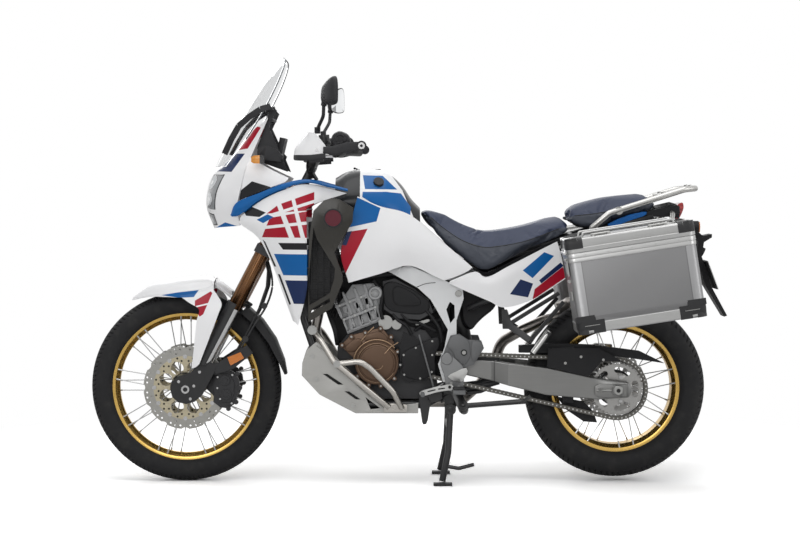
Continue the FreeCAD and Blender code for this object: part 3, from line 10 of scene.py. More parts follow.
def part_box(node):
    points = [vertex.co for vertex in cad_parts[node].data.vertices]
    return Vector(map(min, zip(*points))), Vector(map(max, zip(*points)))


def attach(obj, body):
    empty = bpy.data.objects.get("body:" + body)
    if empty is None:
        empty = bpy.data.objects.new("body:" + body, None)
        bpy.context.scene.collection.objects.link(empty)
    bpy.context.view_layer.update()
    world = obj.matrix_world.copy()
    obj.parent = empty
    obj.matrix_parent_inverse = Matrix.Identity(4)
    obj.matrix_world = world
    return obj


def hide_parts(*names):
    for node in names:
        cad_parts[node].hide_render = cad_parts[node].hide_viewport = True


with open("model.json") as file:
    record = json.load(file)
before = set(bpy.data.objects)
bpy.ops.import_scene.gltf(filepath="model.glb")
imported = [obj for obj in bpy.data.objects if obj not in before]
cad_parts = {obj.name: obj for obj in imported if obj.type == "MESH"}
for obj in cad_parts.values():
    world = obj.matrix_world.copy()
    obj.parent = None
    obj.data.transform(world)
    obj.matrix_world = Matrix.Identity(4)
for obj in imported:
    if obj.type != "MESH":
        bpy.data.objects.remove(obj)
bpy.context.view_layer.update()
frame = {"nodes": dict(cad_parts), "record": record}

# ---- shader nodes ---------------------------------------------------------------------------
# A reading wraps one socket, so that patterns and masks are written as expressions.
class Reading:
    """A value inside shader nodes. Arithmetic on it adds Math nodes and gives a new reading."""

    def __init__(self, nodes, socket):
        self.nodes = nodes
        self.socket = socket

    def math(self, operation, *others):
        return self.nodes.node("ShaderNodeMath", {"operation": operation}, dict(enumerate((self,) + others)))

    def __add__(self, other):
        return self.math("ADD", other)

    def __sub__(self, other):
        return self.math("SUBTRACT", other)

    def __mul__(self, other):
        return self.math("MULTIPLY", other)

    def __rsub__(self, other):
        return (self * -1.0) + other

    __radd__ = __add__
    __rmul__ = __mul__

    def least(self, other):
        return self.math("MINIMUM", other)

    def most(self, other):
        return self.math("MAXIMUM", other)

    def step(self, low, high):
        """Rises smoothly from 0 at low to 1 at high."""
        return self.nodes.node("ShaderNodeMapRange", {"interpolation_type": "SMOOTHSTEP"},
                                {"Value": self, "From Min": low, "From Max": high})


class Nodes:
    """The shader nodes of a material or of the world, where one method adds any node."""

    def __init__(self, owner):
        owner.use_nodes = True
        self.tree = owner.node_tree

    def node(self, kind, settings, sockets, output=0):
        """Adds a node of that kind, sets its settings, then its sockets, and gives one output."""
        made = self.tree.nodes.new(kind)
        for key, value in settings.items():
            setattr(made, key, value)
        for key, value in sockets.items():
            self.join(made.inputs[key], value)
        return Reading(self, made.outputs[output])

    def join(self, socket, value):
        """Links a reading to a socket, or writes a number or a colour into it."""
        if isinstance(value, Reading):
            self.tree.links.new(value.socket, socket)
        elif isinstance(value, (tuple, list)):
            socket.default_value = tuple(value) + (1.0,) * (len(socket.default_value) - len(value))
        else:
            socket.default_value = value

    def seen(self, *kinds):
        """1 for a ray of one of these kinds: the camera's own, or one through glass or off a mirror."""
        answer = self.node("ShaderNodeLightPath", {}, {}, kinds[0])
        for kind in kinds[1:]:
            answer = answer.most(self.node("ShaderNodeLightPath", {}, {}, kind))
        return answer


class Finish(Nodes):
    """One material, built on the principled shader by expressions on readings."""

    def __init__(self, name, colour, roughness, metallic=0.0, **constants):
        self.material = bpy.data.materials.new(name)
        super().__init__(self.material)
        self.shader = self.tree.nodes["Principled BSDF"]
        self.set("Base Color", colour)
        self.set("Roughness", roughness)
        self.set("Metallic", metallic)
        for socket, value in constants.items():
            self.set(socket.replace("_", " ").title().replace("Ior", "IOR"), value)
        self.coordinates = self.node("ShaderNodeTexCoord", {}, {}, "Object")
        self.x = self.node("ShaderNodeSeparateXYZ", {}, {0: self.coordinates}, 0)
        separate = self.x.socket.node
        self.y = Reading(self, separate.outputs[1])
        self.z = Reading(self, separate.outputs[2])

    def set(self, socket, value):
        self.join(self.shader.inputs[socket], value)
        return self

    def own_look(self):
        """The principled shader itself."""
        return Reading(self, self.shader.outputs[0])

    def own_colour(self):
        """What the base colour reads so far."""
        return Reading(self, self.shader.inputs["Base Color"].links[0].from_socket)

    def noise(self, scale, detail=3.0, stretch=(1.0, 1.0, 1.0)):
        """Soft random pattern from 0 to 1; a stretch below 1 draws it out along that axis."""
        vector = self.node("ShaderNodeMapping", {}, {"Vector": self.coordinates, "Scale": stretch})
        return self.node("ShaderNodeTexNoise", {}, {"Vector": vector, "Scale": scale, "Detail": detail})

    def mix(self, factor, first, second):
        """Colour that goes from the first to the second with the factor."""
        return self.node("ShaderNodeMix", {"data_type": "RGBA"}, {0: factor, 6: first, 7: second}, 2)

    def paint(self, factor, first, second):
        """Makes the base colour go from the first to the second with the factor."""
        return self.set("Base Color", self.mix(factor, first, second))

    def relief(self, height, depth):
        """Raises the surface by a pattern of that depth in metres."""
        return self.set("Normal", self.node("ShaderNodeBump", {}, {"Height": height, "Distance": depth,
                                                                   "Strength": 1.0}, "Normal"))


# ---- studio ---------------------------------------------------------------------------------
# A pale floor that runs out of sight, a plain white surround and four soft lamps.
# The camera looks square on at the left side from 7.5 m away, a little above the tank.
def turn_towards(thing, aim):
    """Points the local -Z of a camera or lamp at a place, with +Y up."""
    direction = np.array(aim) - np.array(thing.location)
    length = np.linalg.norm(direction)
    pitch = math.acos(-direction[2] / length)
    yaw = math.atan2(direction[1], direction[0]) - math.pi / 2
    thing.rotation_euler = (pitch, 0.0, yaw)


scene = bpy.context.scene
scene.view_settings.view_transform = "Standard"
camera = bpy.data.objects.new("camera", bpy.data.cameras.new("camera"))
camera.location = (-0.0697, -7.5, 1.1107)
camera_aim = (-0.0328, 0.0, 0.784)
camera.data.lens = 91.46
camera.data.sensor_width = 36.0
camera.data.clip_end = 100.0
turn_towards(camera, camera_aim)
scene.collection.objects.link(camera)
scene.camera = camera

# columns: name, place, aim, width, depth, watts
for lamp_name, place, aim, width, depth, watts in (
        ("overhead", (0.0, -0.6, 4.2), (0.0, 0.0, 0.6), 4.2, 3.0, 84.0),
        ("near_side", (-1.5, -5.0, 2.6), (-0.1, 0.0, 0.7), 3.4, 2.4, 70.0),
        ("near_rear", (4.2, -2.6, 2.4), (0.2, 0.0, 0.7), 2.4, 2.4, 34.0),
        ("far_side", (-1.0, 4.6, 3.0), (0.0, 0.0, 0.7), 3.4, 2.4, 62.0)):
    lamp = bpy.data.objects.new(lamp_name, bpy.data.lights.new(lamp_name, "AREA"))
    lamp.data.shape = "RECTANGLE"
    lamp.data.size = width
    lamp.data.size_y = depth
    lamp.data.energy = watts
    lamp.location = place
    turn_towards(lamp, aim)
    scene.collection.objects.link(lamp)

surround_light = 0.36
world = bpy.data.worlds.new("surround")
scene.world = world
sky = Nodes(world)
surround = sky.tree.nodes["Background"].inputs
sky.join(surround["Color"], (1.0, 1.0, 1.0))
sky.join(surround["Strength"], sky.node("ShaderNodeMapRange", {}, {
    "Value": sky.seen("Is Camera Ray", "Is Transmission Ray", "Is Glossy Ray"), "To Min": surround_light}))

floor_half = 14.0
floor_mesh = bpy.data.meshes.new("floor")
floor_mesh.from_pydata([(-floor_half, -floor_half, 0.0), (floor_half, -floor_half, 0.0),
                        (floor_half, floor_half, 0.0), (-floor_half, floor_half, 0.0)], [], [(0, 1, 2, 3)])
floor = bpy.data.objects.new("floor", floor_mesh)
scene.collection.objects.link(floor)
floor_paint = Finish("floor_paint", (0.86, 0.86, 0.86), 0.9, specular_ior_level=0.1)
reach = floor_paint.node("ShaderNodeVectorMath", {"operation": "LENGTH"}, {0: floor_paint.coordinates}, "Value")
lit = floor_paint.node("ShaderNodeBsdfDiffuse", {}, {"Color": (1.62, 1.62, 1.62)})
glow = floor_paint.node("ShaderNodeEmission", {}, {"Color": (1.0, 1.0, 1.0)})
view = floor_paint.node("ShaderNodeMixShader", {}, {0: reach.step(1.5, 2.4), 1: lit, 2: glow})
floor_look = floor_paint.node("ShaderNodeMixShader", {}, {
    0: floor_paint.seen("Is Camera Ray", "Is Transmission Ray"), 1: floor_paint.own_look(), 2: view})
floor_paint.join(floor_paint.tree.nodes["Material Output"].inputs["Surface"], floor_look)
floor_mesh.materials.append(floor_paint.material)


# ---- main frame -----------------------------------------------------------------------------
# A welded steel cradle in satin black, with its twin spars and pivot plates in white enamel, and
# a dark rear frame of round tube that bolts on behind it.
def shade(colour, factor):
    """The same colour, lighter or darker."""
    return tuple(min(1.0, part * factor) for part in colour)


def worn(name, colour, roughness, metallic=0.0, grain=220, depth=0.00006, variation=0.12,
         stretch=(1.0, 1.0, 1.0), **constants):
    """A finish whose colour and gloss wander a little, over a fine relief."""
    finish = Finish(name, colour, roughness, metallic, **constants)
    broad = finish.noise(9.0)
    fine = finish.noise(grain, 2.0, stretch)
    finish.paint(broad * 0.6 + fine * 0.4, shade(colour, 1.0 - variation), shade(colour, 1.0 + variation))
    finish.set("Roughness", fine * 0.16 + (roughness - 0.08))
    finish.relief(fine, depth)
    return finish


def finished(made, finish, body, node, crease, bevel, near, outward):
    """Merges a piece's doubles, smooths it except across edges sharper than the crease, rounds those
    edges by the bevel, and hands the piece over."""
    mesh = made.data
    scene.collection.objects.link(made)
    welded = bmesh.new()
    welded.from_mesh(mesh)
    bmesh.ops.remove_doubles(welded, verts=welded.verts, dist=near)
    bmesh.ops.dissolve_degenerate(welded, dist=near / 10.0, edges=welded.edges)
    if outward:
        bmesh.ops.recalc_face_normals(welded, faces=welded.faces)
    welded.to_mesh(mesh)
    welded.free()
    mesh.materials.clear()
    mesh.materials.append(finish.material)
    mesh.polygons.foreach_set("use_smooth", np.ones(len(mesh.polygons), dtype=bool))
    mesh.set_sharp_from_angle(angle=math.radians(crease))
    if bevel:
        edge = made.modifiers.new("edge", "BEVEL")
        edge.width = bevel
        edge.segments = 2
        edge.limit_method = "ANGLE"
        edge.angle_limit = math.radians(crease)
        edge.harden_normals = True
    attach(made, body)
    if node:
        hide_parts(node)
    return made


def refined(node, finish, crease=32, bevel=0.0):
    """Copy of a CAD node in its finish. Its faces point outwards already."""
    made = frame["nodes"][node].copy()
    made.data = made.data.copy()
    made.name = node + "_finished"
    finished(made, finish, body_of[node], node, crease, bevel, 1e-5, False)


record = frame["record"]
body_of = {node: body for body, nodes in record["behaviour"]["bodies"].items() for node in nodes}
frame_paint = Finish("frame_paint", (0.70, 0.71, 0.72), 0.32, 0.0, specular_ior_level=0.35, coat_weight=0.2)
sideways = frame_paint.y.math("ABSOLUTE")
plate_part = sideways.step(0.1118, 0.1124) * frame_paint.z.step(0.374, 0.378)
spar_part = frame_paint.z.step(0.742, 0.752)
enamel = frame_paint.mix(frame_paint.noise(6.0), (0.67, 0.68, 0.69), (0.73, 0.74, 0.745))
frame_paint.paint(plate_part.most(spar_part), (0.012, 0.012, 0.013), enamel)
frame_paint.set("Roughness", frame_paint.noise(120.0) * 0.12 + 0.26)
refined("main_frame", frame_paint, crease=40, bevel=0.0018)
satin_frame = worn("satin_frame", (0.012, 0.012, 0.013), 0.42, grain=600, depth=0.00004)
refined("subframe", satin_frame, crease=40)


# ---- wheels ---------------------------------------------------------------------------------
# Tubeless wire wheels: gold anodised aluminium rims, dark cast hubs and bright steel spokes that
# cross in pairs from the hub flanges to the edges of the rim, each with its nipple.
def grid_faces(rows, columns, wrap_rows, wrap_columns):
    """Quads between neighbouring points of a grid, with its ends joined where it wraps."""
    index = np.arange(rows * columns).reshape(rows, columns)
    if wrap_rows:
        index = np.vstack([index, index[:1]])
    if wrap_columns:
        index = np.hstack([index, index[:, :1]])
    return np.stack([index[:-1, :-1], index[1:, :-1], index[1:, 1:], index[:-1, 1:]], axis=-1).reshape(-1, 4)


def grid(points, wrap_rows=False, wrap_columns=False):
    """Surface through rows and columns of points: one quad between each four neighbours."""
    rows, columns = points.shape[:2]
    return points.reshape(-1, 3), grid_faces(rows, columns, wrap_rows, wrap_columns)


def circle(count):
    """Equal angles round a full turn, in radians."""
    return np.linspace(0.0, 2.0 * math.pi, count, endpoint=False)


def unit(vectors):
    """The same directions, each of length 1."""
    return vectors / np.linalg.norm(vectors, axis=-1, keepdims=True)


def spun(profile, centre, steps):
    """A closed profile of (radius, y), carried round the axle at centre: x + r cos a, y, z + r sin a. Its
    places are in millimetres."""
    radius, across = np.array(profile, dtype=float).T[:, None, :]
    angle = circle(steps)[:, None]
    points = np.stack([centre[0] + radius * np.cos(angle), across + 0.0 * angle,
                       centre[1] + radius * np.sin(angle)], axis=-1)
    return grid(points / 1000.0, True, True)


def rods(starts, ends, radius, sides=10):
    """Round bars from each start to each end: rings of points round the line, with closed tips."""
    starts = np.atleast_2d(np.array(starts, dtype=float))
    ends = np.atleast_2d(np.array(ends, dtype=float))
    along = unit(ends - starts)
    helper = np.where(np.abs(along[:, :1]) > 0.8, [[0.0, 0.0, 1.0]], [[1.0, 0.0, 0.0]])
    first = unit(np.cross(along, helper))
    second = np.cross(along, first)
    angle = circle(sides)
    radius = np.broadcast_to(np.asarray(radius, dtype=float), (len(starts),))[:, None, None]
    ring = radius * (first[:, None] * np.cos(angle)[:, None] + second[:, None] * np.sin(angle)[:, None])
    layers = np.stack([starts[:, None] + 0.0 * ring, starts[:, None] + ring, ends[:, None] + ring,
                       ends[:, None] + 0.0 * ring], axis=1)
    faces = grid_faces(4, sides, False, True)
    count = len(starts)
    every = (faces[None] + 4 * sides * np.arange(count)[:, None, None]).reshape(-1, 4)
    return layers.reshape(-1, 3), every


def pin(place, y0, y1, radius, sides=16, lean=(0.0, 0.0)):
    """Round bar across the machine at a place of (x, z), from y0 to y1, where it has moved by the lean."""
    x, z = place
    return rods([(x / 1000.0, y0 / 1000.0, z / 1000.0)],
                [((x + lean[0]) / 1000.0, y1 / 1000.0, (z + lean[1]) / 1000.0)], radius / 1000.0, sides)


def mirror_of(shape):
    """The same shape on the other side of the machine, with its faces turned outwards again."""
    points, faces = shape
    return points * np.array([1.0, -1.0, 1.0]), np.asarray(faces)[:, ::-1]


def both(*shapes):
    """Each shape, and the same shape on the other side."""
    return [part for shape in shapes for part in (shape, mirror_of(shape))]


def piece(name, shapes, finish, node=None, body="chassis", crease=35, bevel=0.0):
    """One object from shapes of (points, faces), welded where they meet themselves."""
    points = np.concatenate([shape[0] for shape in shapes])
    starts = np.cumsum([0] + [len(shape[0]) for shape in shapes[:-1]])
    faces = [face for shape, start in zip(shapes, starts) for face in (np.asarray(shape[1]) + start).tolist()]
    mesh = bpy.data.meshes.new(name)
    mesh.from_pydata(points.tolist(), [], faces)
    return finished(bpy.data.objects.new(name, mesh), finish, body, node, crease, bevel, 2e-6, True)


def tyre_surface(centre, outer, half_width, half_height, blocks, groove_depth):
    """Ring whose section is an ellipse from bead to bead, with slanted grooves cut in its tread.
    A groove is where the fraction of (blocks * angle + slant) falls in a narrow band."""
    steps = 1000
    angle = circle(steps)[:, None]
    turn = np.radians(np.concatenate([np.linspace(-142.0, -62.0, 14), np.linspace(-58.0, 58.0, 33),
                                      np.linspace(62.0, 142.0, 14)]))[None, :]
    middle = outer - half_height
    side = np.sign(turn)
    wave = (angle / (2.0 * math.pi) * blocks + 0.55 * np.abs(turn) + 0.25 * side) % 1.0
    slant = np.clip(1.6 - np.abs(wave - 0.5) / 0.055, 0.0, 1.0)
    tread = np.clip((np.abs(turn) - 0.10) / 0.05, 0.0, 1.0) * np.clip((0.98 - np.abs(turn)) / 0.08, 0.0, 1.0)
    second = (wave + 0.5) % 1.0
    short = np.clip(1.6 - np.abs(second - 0.5) / 0.05, 0.0, 1.0) * np.clip((np.abs(turn) - 0.52) / 0.05, 0.0, 1.0)
    cut = groove_depth * np.maximum(slant, short) * tread
    ridge = 0.0007 * np.clip(1.0 - np.abs(np.abs(turn) - 1.35) / 0.03, 0.0, 1.0)
    ridge = ridge + 0.0009 * np.clip(1.0 - np.abs(np.abs(turn) - 2.05) / 0.04, 0.0, 1.0)
    square = 1.0 + 0.035 * np.sin(2.0 * turn) ** 2
    radius = middle + (half_height - cut + ridge) * np.cos(turn) * square
    across = (half_width - cut + ridge) * np.sin(turn) * square + 0.0 * angle
    outside = np.stack([centre[0] + radius * np.cos(angle), across, centre[1] + radius * np.sin(angle)], axis=-1)
    inner = middle + (half_height - 0.012) * np.cos(turn[:, ::-6]) + 0.0 * angle
    inner_across = (half_width - 0.012) * np.sin(turn[:, ::-6]) + 0.0 * angle
    inside = np.stack([centre[0] + inner * np.cos(angle), inner_across, centre[1] + inner * np.sin(angle)], axis=-1)
    return grid(np.concatenate([outside, inside], axis=1), True, True)


rubber = worn("tyre_rubber", (0.014, 0.014, 0.015), 0.7, grain=420, depth=0.00004, variation=0.2,
              specular_ior_level=0.25)
rubber_dust = rubber.noise(26.0, 5.0)
rubber.paint(rubber_dust.step(0.45, 0.8) * 0.5, (0.012, 0.012, 0.013), (0.032, 0.031, 0.029))
gold_rim = Finish("gold_rim", (0.72, 0.50, 0.15), 0.25, 1.0)
gold_cloud = gold_rim.noise(30.0)
gold_rim.paint(gold_cloud, (0.50, 0.32, 0.085), (0.62, 0.41, 0.12))
gold_rim.set("Roughness", gold_rim.noise(160.0) * 0.12 + 0.2)
spoke_steel = worn("spoke_steel", (0.42, 0.42, 0.42), 0.26, 1.0, grain=600, depth=0.00001)
hub_black = worn("hub_black", (0.014, 0.014, 0.015), 0.42, 0.0, grain=700, depth=0.00003)
disc_steel = Finish("disc_steel", (0.62, 0.62, 0.60), 0.28, 1.0)


def turning_marks(finish, centre, colour, roughness):
    """Fine rings left by grinding: a pattern of the distance from the axle alone."""
    across = finish.x - centre[0]
    up = finish.z - centre[1]
    far = (across * across + up * up).math("SQRT")
    line = finish.node("ShaderNodeCombineXYZ", {}, {0: far * 60.0, 1: 0.0, 2: 0.0})
    ring = finish.node("ShaderNodeTexNoise", {}, {"Vector": line, "Scale": 30.0, "Detail": 2.0})
    finish.paint(ring, shade(colour, 0.82), shade(colour, 1.12))
    finish.set("Roughness", ring * 0.2 + (roughness - 0.1))
    return finish


turning_marks(disc_steel, (-0.821, 0.350), (0.32, 0.315, 0.295), 0.3)
across, up = disc_steel.x + 0.821, disc_steel.z - 0.350
far = (across * across + up * up).math("SQRT")
turn = up.math("ARCTAN2", across) * (24.0 / (2.0 * math.pi))
beside = ((turn + far.step(0.1035, 0.1045) * 0.5).math("FRACT") - 0.5) * (2.0 * math.pi / 24.0) * far
above = (far - 0.0985).math("ABSOLUTE").least((far - 0.1105).math("ABSOLUTE"))
# The drilled holes are not cut: each is painted near black, a painted shade standing in for the see-through hole.
drilled_hole_shade = (beside * beside + above * above).math("SQRT").step(0.0040, 0.0034)
carrier = disc_steel.mix(far.step(0.1168, 0.1160), disc_steel.own_colour(), (0.42, 0.375, 0.27))
disc_steel.paint(drilled_hole_shade, carrier, (0.03, 0.03, 0.03))
rear_disc_steel = turning_marks(Finish("rear_disc_steel", (0.6, 0.6, 0.58), 0.3, 1.0), (0.759, 0.347),
                                (0.34, 0.335, 0.325), 0.3)

# columns: body, centre, tyre radius, half width, half height, tread blocks, groove depth, bead radius,
# rim half width, spokes a side, hub flange radius, flange y, rim end y, lean in degrees
for body, centre, outer, half_width, half_height, blocks, groove, bead, rim_half, count, flange, flange_y, \
        rim_y, lean in (
        ("front_wheel", (-0.821, 0.350), 0.350, 0.046, 0.044, 62, 0.0045, 0.2665, 0.0270, 18, 0.040, 0.039,
         0.021, 26.0),
        ("rear_wheel", (0.759, 0.347), 0.333, 0.075, 0.0555, 46, 0.006, 0.2286, 0.0500, 16, 0.053, 0.039,
         0.044, 27.0)):
    end = body.split("_")[0]
    piece(end + "_tyre_carcass", [tyre_surface(centre, outer, half_width, half_height, blocks, groove)],
          rubber, end + "_tyre", body, 40.0)
    ring = [(9, 3), (10.2, 1.8), (9, 0.4), (0, -1), (0, -12), (-13, -19)]
    ring = [(1000.0 * bead + out, 1000.0 * rim_half + aside) for out, aside in ring]
    inner = [(-1, 3.2), (-6, 1), (-7.5, -8), (-13, -13), (-18.5, -18.5), (-20.5, 4 - 1000.0 * rim_half)]
    inner = [(1000.0 * bead + out, 1000.0 * rim_half + aside) for out, aside in inner]
    section = ring + [(r, -y) for r, y in reversed(ring)] + [(r, -y) for r, y in inner] + inner[::-1]
    axle = (1000.0 * centre[0], 1000.0 * centre[1])
    piece(end + "_rim_turned", [spun(section, axle, 200)], gold_rim, end + "_rim", body, 28.0)
    number = np.arange(2 * count)
    side = np.where(number < count, -1.0, 1.0)
    start = 2.0 * math.pi * (number % count + 0.25 + 0.25 * side) / count
    stop = start + np.radians(lean) * np.where(number % count % 2, 1.0, -1.0)
    reach = bead - 0.006
    near = np.stack([centre[0] + flange * np.cos(start), side * flange_y, centre[1] + flange * np.sin(start)], axis=-1)
    far = np.stack([centre[0] + reach * np.cos(stop), side * rim_y, centre[1] + reach * np.sin(stop)], axis=-1)
    inward = unit(near - far)
    piece(end + "_spokes", [rods(near, far, 0.0019, 8), rods(far + 0.020 * inward, far, 0.0032, 8),
                            rods(near - 0.004 * inward, near + 0.006 * inward, 0.0032, 8)],
          spoke_steel, body=body)


def bolts(centre, ring_radius, count, y, head, height, sides=6):
    """Hexagon heads or buttons on a circle round an axle, standing out by their height from the face at y,
    all in millimetres."""
    angle = 2.0 * math.pi * np.arange(count) / count
    foot = np.stack([centre[0] + ring_radius * np.cos(angle), np.full(count, y),
                     centre[1] + ring_radius * np.sin(angle)], axis=-1) / 1000.0
    return rods(foot, foot + np.array([0.0, math.copysign(height / 1000.0, y), 0.0]), head / 1000.0, sides)


front_axle = (-821, 350)
rear_axle = (759, 347)
bore = 12.8
front_hub = [(bore, -60), (36, -60), (38, -58), (38, -46), (45.5, -43), (46.5, -40), (45.5, -36.5), (30, -30),
             (27, -15), (26.5, 0), (27, 15), (30, 30), (45.5, 36.5), (46.5, 40), (45.5, 43), (38, 46), (38, 58),
             (36, 60), (bore, 60)]
piece("front_hub_casting", [spun(front_hub, front_axle, 96)], hub_black, "front_hub",
      "front_wheel", 40.0)
rear_hub = [(bore, -88), (48, -88), (50, -86), (58, -70), (60, -44), (65.5, -42.5), (66.5, -39.5), (65.5, -36),
            (38, -30), (35, 0), (38, 30), (55.5, 36), (56.5, 39), (55.5, 42.5), (45, 46), (44, 86), (42, 88),
            (bore, 88)]
piece("rear_hub_casting", [spun(rear_hub, rear_axle, 96)], hub_black, "rear_hub", "rear_wheel", 40.0)
piece("front_disc_bolts", both(bolts(front_axle, 45.5, 6, -65.5, 5.8, 4.5),
                               spun([(52, -71.5), (54.5, -71.5), (54.5, -69), (52, -69)], front_axle, 72)),
      hub_black, body="front_wheel")
piece("front_disc_buttons", both(bolts(front_axle, 113.5, 12, -66, 7.8, 2.5, 16),
                                 bolts(front_axle, 113.5, 12, -66, 4.2, 4, 12)),
      spoke_steel, body="front_wheel")
refined("front_discs", disc_steel, crease=30)
refined("rear_disc", rear_disc_steel, crease=30)
refined("rear_sprocket", rear_disc_steel, crease=30)
piece("rear_sprocket_nuts", [bolts(rear_axle, 46, 5, -95.5, 7, 8)], spoke_steel, body="rear_wheel")


# ---- engine ---------------------------------------------------------------------------------
# A twin with a slanted cylinder block: sand-cast aluminium cases in matt grey and black paint,
# bronze-coloured covers on both flanks, and steel screws round every joint.
def eased(points, count):
    """Smooth curve through points: the Catmull-Rom cubic of each span, along the first axis."""
    points = np.asarray(points, dtype=float)
    ends = np.concatenate([(2.0 * points[0] - points[1])[None], points, (2.0 * points[-1] - points[-2])[None]])
    place = np.linspace(0.0, len(points) - 1.0, count)
    span = np.minimum(place.astype(int), len(points) - 2)
    part = (place - span).reshape((-1,) + (1,) * (points.ndim - 1))
    a, b, c, d = ends[span], ends[span + 1], ends[span + 2], ends[span + 3]
    return 0.5 * (2.0 * b + (c - a) * part + (2.0 * a - 5.0 * b + 4.0 * c - d) * part ** 2 +
                  (3.0 * b - a - 3.0 * c + d) * part ** 3)


def slab(outline, y0, y1, middle=None):
    """Plate between y0 and y1 (millimetres): its outline of (x, z), joined to a middle point each side."""
    outline = np.array(outline, dtype=float)
    middle = outline.mean(axis=0) if middle is None else np.array(middle, dtype=float)
    ring = np.stack([outline[:, 0], 0.0 * outline[:, 0], outline[:, 1]], axis=-1)
    hub = np.broadcast_to(np.array([middle[0], 0.0, middle[1]]), ring.shape)
    low, high = np.array([0.0, y0, 0.0]), np.array([0.0, y1, 0.0])
    return grid(np.stack([hub + low, ring + low, ring + high, hub + high]) / 1000.0, False, True)


def pad(outline, y0, y1, inset=4.0, rounding=3):
    """Raised plate with a bevelled face: its outline smoothed by cutting corners, then drawn in by
    an inset on its outer side, from y0 at its foot to y1 at its face."""
    outline = np.array(outline, dtype=float)
    for _ in range(rounding):
        following = np.roll(outline, -1, axis=0)
        outline = np.stack([0.8 * outline + 0.2 * following, 0.2 * outline + 0.8 * following], axis=1).reshape(-1, 2)
    middle = outline.mean(axis=0)
    reach = np.linalg.norm(outline - middle, axis=1, keepdims=True)
    drawn = middle + (outline - middle) * (1.0 - inset / reach)
    part = middle + (outline - middle) * (1.0 - 0.35 * inset / reach)
    rings = [(np.broadcast_to(middle, outline.shape), y0), (outline, y0), (outline, y0 + 0.6 * (y1 - y0)),
             (part, y0 + 0.9 * (y1 - y0)), (drawn, y1), (np.broadcast_to(middle, outline.shape), y1)]
    return grid(np.stack([np.stack([ring[:, 0], np.full(len(ring), y), ring[:, 1]], axis=-1) for ring, y in rings])
                / 1000.0, False, True)


def arc(centre, radius, first, last, y, thick, steps=24):
    """Round bead along an arc round an axle, from the first angle to the last, in millimetres."""
    angle = np.radians(np.linspace(first, last, steps))
    line = np.stack([centre[0] + radius * np.cos(angle), np.full(steps, y), centre[1] + radius * np.sin(angle)], -1)
    return run(line / 1000.0, thick / 1000.0)


def run(line, radius, sides=10):
    """Round tube along a line of points: a ring square to the line at each place, its ends drawn shut."""
    line = np.asarray(line, dtype=float)
    along = np.gradient(line, axis=0)
    along = unit(along)
    helper = np.array([0.0, 1.0, 0.0]) if np.abs(along[:, 1]).max() < 0.9 else np.array([0.31, 0.2, 0.93])
    first = unit(np.cross(along, helper))
    second = np.cross(along, first)
    angle = circle(sides)[None, :, None]
    size = np.full((len(line), 1, 1), radius)
    ring = line[:, None] + size * (first[:, None] * np.cos(angle) + second[:, None] * np.sin(angle))
    ends = [np.broadcast_to(line[:1, None], ring[:1].shape), ring, np.broadcast_to(line[-1:, None], ring[:1].shape)]
    return grid(np.concatenate(ends), False, True)


def hose(points, radius, count=60, sides=10):
    """Round tube along a smooth curve through points, in millimetres."""
    return run(eased(np.array(points) / 1000.0, count), radius / 1000.0, sides)


def screws(places, y, head=4.5, height=4.0):
    """Hexagon heads standing out to the left of the plane y at places of (x, z), in millimetres."""
    foot = np.array([[x, y, z] for x, z in places]) / 1000.0
    return rods(foot, foot - np.array([0.0, height / 1000.0, 0.0]), head / 1000.0, 6)


def head_place(across, up):
    """Place in the slanted frame of the cylinder block, from its lower front corner, in millimetres."""
    return (-224.0 + 0.93 * across - 0.371 * up, 549.0 + 0.368 * across + 0.929 * up)


def head_box(a0, a1, b0, b1):
    return [head_place(a0, b0), head_place(a1, b0), head_place(a1, b1), head_place(a0, b1)]


cast_grey = worn("cast_grey", (0.27, 0.272, 0.275), 0.48, 0.5, grain=900, depth=0.00012, variation=0.16)
cast_dark = worn("cast_dark", (0.030, 0.030, 0.032), 0.55, 0.2, grain=700, depth=0.00012, variation=0.2)
cast_bronze = worn("cast_bronze", (0.098, 0.056, 0.033), 0.42, 0.5, grain=800, depth=0.00008, variation=0.1)
gear_side = cast_bronze.x.step(-0.040, -0.038) * cast_bronze.y.step(0.01, -0.01)
cast_bronze.paint(gear_side, cast_bronze.own_colour(), (0.008, 0.008, 0.009))
bronze_light = worn("bronze_light", (0.33, 0.22, 0.14), 0.34, 0.8, grain=800, depth=0.00004)
soft_black = worn("soft_black", (0.0085, 0.0085, 0.0095), 0.55, grain=500, depth=0.00006, specular_ior_level=0.25)
zinc_screw = worn("zinc_screw", (0.34, 0.34, 0.33), 0.34, 1.0, grain=900, depth=0.00001)
refined("engine_block", cast_dark, bevel=0.002)
refined("cylinder_head", cast_grey, bevel=0.0025)
refined("engine_covers", cast_bronze, bevel=0.0035)
left_head = [pad(head_box(3, 134, 6, 12), -98, -107, 1.5, 1), pad(head_box(3, 134, 50, 60), -98, -117, 2, 1),
             pad(head_box(-6, 142, 104, 113), -105, -117, 2, 1)]
for across in (4.0, 34.0, 66.0, 98.0, 126.0):
    left_head.append(pad(head_box(across - 4, across + 5, 14, 56), -95, -112, 2.5, 1))
for across in (2.0, 40.0, 84.0, 122.0):
    left_head.append(pad(head_box(across - 5, across + 6, 60, 150), -105, -119, 3, 1))
for across, up in ((16.0, 72.0), (58.0, 72.0), (100.0, 72.0)):
    left_head.append(pad(head_box(across, across + 20, up, up + 28), -105, -112, 3, 2))
left_head.append(spun([(2, -105), (24, -105), (26, -122), (23, -126), (16, -126),
                       (14, -119), (2, -119)], (-124, 700), 40))
left_head.append(spun([(0.5, -117), (9, -117), (8.5, -125.5), (0.5, -125.5)], (-124, 700), 6))
piece("cylinder_castings", both(*left_head), cast_grey, crease=30)
head_screws = [head_place(across, 108) for across in (12, 52, 96, 136)]
head_screws += [head_place(across, 55) for across in (8, 50, 92, 130)]
piece("cylinder_screws", both(screws(head_screws, -116)), zinc_screw)
generator = (-118, 446)
